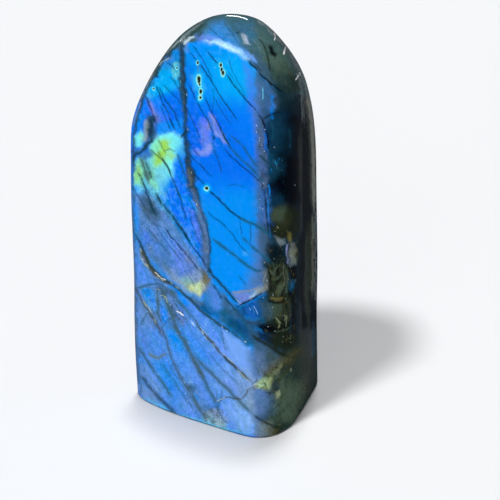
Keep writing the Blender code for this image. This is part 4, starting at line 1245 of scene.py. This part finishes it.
def vertex_array(mesh, what):
    """One kind of vector, such as place or normal, for every vertex."""
    values = np.empty(len(mesh.vertices) * 3)
    mesh.vertices.foreach_get(what, values)
    return values.reshape(-1, 3)


def store(mesh, name, kind, values):
    """Keeps one value for each vertex on the mesh, for the material to read."""
    slots = {"FLOAT_COLOR": "color", "FLOAT_VECTOR": "vector", "FLOAT": "value"}
    if kind == "FLOAT_COLOR":
        values = np.concatenate([values, np.ones((len(values), 1))], 1)
    mesh.attributes.new(name, kind, "POINT").data.foreach_set(slots[kind], values.ravel())


def lay_marks(mesh):
    """Keeps the marks on the mesh's points, and sinks the pits."""
    points = vertex_array(mesh, "co")
    normals = vertex_array(mesh, "normal")
    pixels = to_pixels(points)
    shown = step(facing_camera(points, normals), SHOWN_FROM, SHOWN_FULLY)
    store(mesh, "flash", "FLOAT_COLOR", paint(pixels))
    store(mesh, "character", "FLOAT_VECTOR", character(pixels) * shown[:, None])
    store(mesh, "shown", "FLOAT", shown)
    for number, (tone, lines) in enumerate(vein_layers(pixels)):
        lines[:, 1] *= shown
        store(mesh, f"vein_tone_{number}", "FLOAT_COLOR", tone)
        store(mesh, f"vein_{number}", "FLOAT_VECTOR", lines)
    pits = pit_field(pixels) + PIT_HIDDEN * (1 - shown)
    store(mesh, "pit", "FLOAT", pits)
    sunk = PIT_DEPTH * step(-pits, *PIT_WALL)
    mesh.vertices.foreach_set("co", (points - normals * sunk[:, None]).ravel())
    mesh.update()


class Desk:
    """A material's nodes, laid out by short calls."""

    def __init__(self, material):
        self.nodes = material.node_tree.nodes
        self.links = material.node_tree.links

    def put(self, socket, value):
        """A link where the value is another node's output, a palette tone where it is a name, or else
        a plain value."""
        if isinstance(value, str):
            value = linear(value)
        if isinstance(value, bpy.types.NodeSocket):
            self.links.new(value, socket)
        elif hasattr(value, "__len__") and len(value) == 3 and socket.type == "RGBA":
            socket.default_value = (*value, 1)
        else:
            socket.default_value = value

    def node(self, kind, inputs, **settings):
        """A new node with these inputs and settings."""
        node = self.nodes.new("ShaderNode" + kind)
        for name, value in settings.items():
            setattr(node, name, value)
        for name, value in inputs.items():
            self.put(node.inputs[name], value)
        return node

    def read(self, name, output):
        """A value that the mesh keeps."""
        return self.node("Attribute", {}, attribute_name=name).outputs[output]

    def parts(self, name):
        """The three parts of a vector that the mesh keeps."""
        return tuple(self.node("SeparateXYZ", {"Vector": self.read(name, "Vector")}).outputs)

    def sum(self, operation, first, second=0.0, third=0.0):
        return self.node("Math", {0: first, 1: second, 2: third}, operation=operation).outputs[0]

    def add(self, first, second):
        return self.sum("ADD", first, second)

    def minus(self, first, second):
        return self.sum("SUBTRACT", first, second)

    def times(self, first, second):
        return self.sum("MULTIPLY", first, second)

    def ramp(self, value, low, high, to_low=0.0, to_high=1.0):
        """A smooth change of value between two bounds."""
        inputs = {"Value": value, "From Min": low, "From Max": high, "To Min": to_low, "To Max": to_high}
        return self.node("MapRange", inputs, interpolation_type="SMOOTHSTEP").outputs["Result"]

    def mix(self, share, low, high):
        """One colour where the share is 0, the other where it is 1."""
        node = self.node("Mix", {}, data_type="RGBA")
        sockets = [socket for socket in node.inputs if socket.enabled]
        for socket, value in zip(sockets, (share, low, high)):
            self.put(socket, value)
        return next(socket for socket in node.outputs if socket.enabled)

    def coat(self, colour, tone, value, low, high, most=1.0, amount=1.0):
        """A tone over a colour: none of it where the value is low, and most of it where it is high."""
        return self.mix(self.times(self.ramp(value, low, high, 0, most), amount), colour, tone)

    def dot(self, vector, axis):
        return self.node("VectorMath", {0: vector, 1: axis}, operation="DOT_PRODUCT").outputs["Value"]

    def shifted(self, place, shift):
        return self.node("VectorMath", {0: place, 1: shift}).outputs[0]

    def noise(self, place, size, detail, roughness, distortion=0.0):
        """Cloudy values round 0.5 whose lumps are about this size, in the place's unit."""
        inputs = {
            "Vector": place,
            "Scale": 1 / size,
            "Detail": detail,
            "Roughness": roughness,
            "Distortion": distortion,
        }
        return self.node("TexNoise", inputs).outputs["Fac"]

    def wobble(self, place, *settings):
        """The same kind of values round 0."""
        return self.minus(self.noise(place, *settings), 0.5)

    def shade(self, colour, hue, value, saturation=1.0):
        inputs = {"Color": colour, "Hue": hue, "Saturation": saturation, "Value": value}
        return self.node("HueSaturation", inputs).outputs["Color"]


def millimetres(desk):
    """The place of each point in the stone, in millimetres."""
    place = desk.node("TexCoord", {}).outputs["Object"]
    return desk.node("VectorMath", {0: place, "Scale": 1 / MM}, operation="SCALE").outputs["Vector"]


def along_layers(desk, place):
    """The place in the mineral's layers, drawn out along their run."""
    parts = {
        "X": desk.times(desk.dot(place, LAYER_RUN), 1 / LAYER_STRETCH),
        "Y": desk.dot(place, LAYER_RISE),
        "Z": desk.dot(place, LAYER_THIRD),
    }
    return desk.node("CombineXYZ", parts).outputs["Vector"]


def body_colour(desk, place, layered):
    """The pattern that fills the stone: dark feldspar with zones of blue flash, fewer towards the right,
    cut by fine cleavage."""
    lumps = desk.noise(place, *LUMPS)
    colour = desk.coat("deep green", "dull green", lumps, 0.34, 0.6)
    colour = desk.coat(colour, "moss", lumps, 0.52, 0.72, 0.8)
    zones = desk.noise(desk.shifted(place, ZONES_SHIFT), *ZONES)
    depth = desk.add(zones, desk.times(desk.wobble(layered, *ZONE_STREAKS), 0.35))
    depth = desk.minus(depth, desk.ramp(desk.dot(place, (1, 0, 0)), 4, 24, 0, 0.13))
    blue = desk.coat("electric blue", "steel blue", desk.noise(layered, *SOFT_BLUES), 0.4, 0.62)
    coats = (
        ("slate", 0.4, 0.56, 0.8),
        (blue, 0.48, 0.64, 0.85),
        ("azure", 0.6, 0.68, 0.9),
        ("pale cyan", 0.68, 0.74, 0.8),
        ("gold green", 0.735, 0.77, 0.8),
    )
    for tone, low, high, most in coats:
        colour = desk.coat(colour, tone, depth, low, high, most)
    cleavage = desk.sum("ABSOLUTE", desk.wobble(layered, *CLEAVAGE))
    return desk.coat(colour, "navy", cleavage, 0.012, 0.002, 0.7)


def streaked(desk, colour, place, layered, amount):
    """Streaks along the layers, patches, grain and fine threads, which vary the colour."""
    streaks = desk.add(desk.wobble(layered, *BROAD_STREAKS), desk.wobble(layered, *FINE_STREAKS))
    patches = desk.wobble(place, *PATCHES)
    hue = desk.sum("MULTIPLY_ADD", desk.times(streaks, amount), 0.06, 0.5)
    value = desk.sum("MULTIPLY_ADD", desk.times(desk.add(streaks, patches), amount), 0.9, 1.0)
    saturation = desk.sum("MULTIPLY_ADD", desk.times(patches, amount), -0.25, 1.0)
    colour = desk.shade(colour, hue, value, saturation)
    contrast = desk.sum("MULTIPLY_ADD", amount, 1.3, 0.15)
    value = desk.sum("MULTIPLY_ADD", desk.wobble(place, *GRAIN), contrast, 1.0)
    colour = desk.shade(colour, 0.5, value)
    threads = desk.sum("ABSOLUTE", desk.wobble(layered, *THREADS))
    return desk.coat(colour, "dark teal", threads, 0.024, 0.004, 0.24, amount)


def mottled(desk, colour, place, amount):
    """Dark and golden flecks of other minerals."""
    dark = desk.noise(place, *DARK_FLECKS)
    gold = desk.noise(desk.shifted(place, GOLD_SHIFT), *GOLD_FLECKS)
    colour = desk.coat(colour, "dark olive", dark, 0.5, 0.6, 0.85, amount)
    colour = desk.coat(colour, "old gold", gold, 0.54, 0.68, 0.7, amount)
    return desk.coat(colour, "pale gold", gold, 0.65, 0.74, 0.7, amount)


def sparkling(desk, colour, place, amount):
    """Tiny bright cleavage faces, here and there."""
    cells = desk.node("TexVoronoi", {"Vector": place, "Scale": SPARKS_PER_MM, "Randomness": 1.0})
    chance = desk.node("SeparateColor", {"Color": cells.outputs["Color"]}).outputs["Red"]
    lit = desk.sum("GREATER_THAN", desk.times(amount, 0.6), chance)
    return desk.coat(colour, "frost", cells.outputs["Distance"], 0.26, 0.1, 0.8, lit)


def lined(desk, colour, number, shake, breaks=None):
    """One layer of veins, some of them painted reflection streaks, or of bright flecks and painted
    highlights, which have no breaks and no soft shade beside them.
    """
    distance, strength, half = desk.parts(f"vein_{number}")
    tone = desk.read(f"vein_tone_{number}", "Color")
    away = desk.add(desk.minus(desk.sum("ABSOLUTE", distance), half), shake)
    if breaks is not None:
        strength = desk.times(strength, breaks)
        reach = desk.sum("MULTIPLY_ADD", half, *VEIN_SHADE)
        colour = desk.coat(colour, tone, away, reach, 0.0, VEIN_SHADE_STRENGTH, strength)
    soft = desk.sum("MULTIPLY_ADD", half, *VEIN_EDGE)
    return desk.coat(colour, tone, away, soft, desk.times(soft, VEIN_EDGE_INSIDE), 1.0, strength)


def pitted(desk, colour, shake, breaks):
    """Dark pits, each with a pale rim and a blue halo."""
    pit = desk.add(desk.read("pit", "Fac"), desk.times(shake, PIT_SHAKE))
    colour = desk.coat(colour, "cyan blue", pit, 4.6, 1.8, 0.7)
    colour = desk.coat(colour, "ice cyan", pit, 2.3, 1.4, 1.0, breaks)
    colour = desk.coat(colour, "pale gold", pit, 1.6, 1.15, 0.7)
    return desk.coat(colour, "ink", pit, 1.2, 0.9, 0.95)


def stone_material():
    """Polished feldspar: the marks on the side in view, the filling pattern past them, one gloss."""
    material = bpy.data.materials.new("polished labradorite")
    material.use_nodes = True
    desk = Desk(material)
    shader = desk.nodes["Principled BSDF"]
    shader.inputs["Roughness"].default_value = POLISH_ROUGHNESS
    shader.inputs["Specular IOR Level"].default_value = POLISH_SPECULAR
    place = millimetres(desk)
    layered = along_layers(desk, place)
    streaks, flecks, sparks = desk.parts("character")
    hidden = body_colour(desk, place, layered)
    colour = desk.mix(desk.read("shown", "Fac"), hidden, desk.read("flash", "Color"))
    colour = streaked(desk, colour, place, layered, streaks)
    colour = mottled(desk, colour, place, flecks)
    shake = desk.times(desk.wobble(place, *VEIN_SHAKE), VEIN_SHAKE_REACH)
    breaks = desk.ramp(desk.noise(place, *VEIN_BREAKS), 0.32, 0.48, 0.55, 1.0)
    for number in range(VEIN_LAYERS):
        colour = lined(desk, colour, number, shake, breaks)
    colour = sparkling(desk, colour, place, sparks)
    colour = lined(desk, colour, VEIN_LAYERS, shake)
    colour = pitted(desk, colour, shake, breaks)
    desk.put(shader.inputs["Base Color"], colour)
    return material


def make_stone():
    """The stone's one piece, over the CAD node that it replaces."""
    net = fine_stone_mesh()
    mesh = bpy.data.meshes.new("polished_stone")
    net.to_mesh(mesh)
    net.free()
    mesh.shade_smooth()
    lay_marks(mesh)
    mesh.materials.append(stone_material())
    stone = linked("polished_stone", mesh)
    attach(stone, "root")
    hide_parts(STONE_NODE)


def paper_material():
    """Pale matt paper that hardly shows in the stone's polish."""
    material = bpy.data.materials.new("pale paper")
    material.use_nodes = True
    desk = Desk(material)
    shader = desk.nodes["Principled BSDF"]
    glossy = desk.node("LightPath", {}).outputs["Is Glossy Ray"]
    dimmed = tuple(part * FLOOR_IN_GLOSS for part in FLOOR_COLOUR)
    desk.put(shader.inputs["Base Color"], desk.mix(glossy, FLOOR_COLOUR, dimmed))
    shader.inputs["Roughness"].default_value = 1.0
    shader.inputs["Specular IOR Level"].default_value = 0.0
    return material


def make_floor():
    """A plain floor under the stone."""
    sheet = bmesh.new()
    bmesh.ops.create_grid(sheet, x_segments=1, y_segments=1, size=FLOOR_REACH)
    mesh = bpy.data.meshes.new("floor")
    sheet.to_mesh(mesh)
    sheet.free()
    mesh.materials.append(paper_material())
    linked("floor", mesh)


def place_camera():
    """The camera, without a shift: it is turned so that the stone lands where the picture has it."""
    place, right, up, forward = camera_axes()
    camera = linked("studio_camera", bpy.data.cameras.new("studio_camera"))
    camera.data.sensor_width = SENSOR_MM
    camera.data.lens = FOCAL_PIXELS * SENSOR_MM / FRAME_PIXELS
    camera.data.clip_start = NEAR_CLIP
    camera.matrix_world = Matrix.Translation(place) @ Matrix((right, up, -forward)).transposed().to_4x4()
    bpy.context.scene.camera = camera


def hang_light(name, lamp, azimuth, elevation, distance, roll=0.0):
    """A light that shines at the stone."""
    out = direction(azimuth, elevation)
    light = linked(name, lamp)
    turned = out.to_track_quat("Z", "Y") @ Quaternion((0, 0, 1), math.radians(roll))
    light.location = AIM + out * distance
    light.rotation_euler = turned.to_euler()
    return light


def place_lights():
    """Far lights that light the scene, and strips that show in the polish."""
    for name, azimuth, elevation, strength, softness in FAR_LIGHTS:
        lamp = bpy.data.lights.new(name, "SUN")
        lamp.energy = strength
        lamp.angle = math.radians(softness)
        hang_light(name, lamp, azimuth, elevation, FAR_LIGHT_DISTANCE).visible_glossy = False
    for name, azimuth, elevation, roll, distance, width, height, watts in STRIPS:
        lamp = bpy.data.lights.new(name, "AREA")
        lamp.shape = "RECTANGLE"
        lamp.size = width
        lamp.size_y = height
        lamp.energy = watts
        hang_light(name, lamp, azimuth, elevation, distance, roll).visible_diffuse = False


def light_the_room():
    """A pale background that gives a little light and hardly shows in the polish."""
    world = bpy.data.worlds.new("studio")
    bpy.context.scene.world = world
    world.use_nodes = True
    desk = Desk(world)
    rays = desk.node("LightPath", {}).outputs
    glossy = desk.times(rays["Is Glossy Ray"], WORLD_IN_GLOSS - WORLD_LIGHT)
    seen = desk.times(rays["Is Camera Ray"], WORLD_SHOWN - WORLD_LIGHT)
    background = desk.nodes["Background"]
    background.inputs["Color"].default_value = WORLD_COLOUR
    desk.put(background.inputs["Strength"], desk.add(desk.add(glossy, seen), WORLD_LIGHT))


place_camera()
place_lights()
light_the_room()
make_floor()
make_stone()
bpy.context.scene.view_settings.view_transform = "Standard"
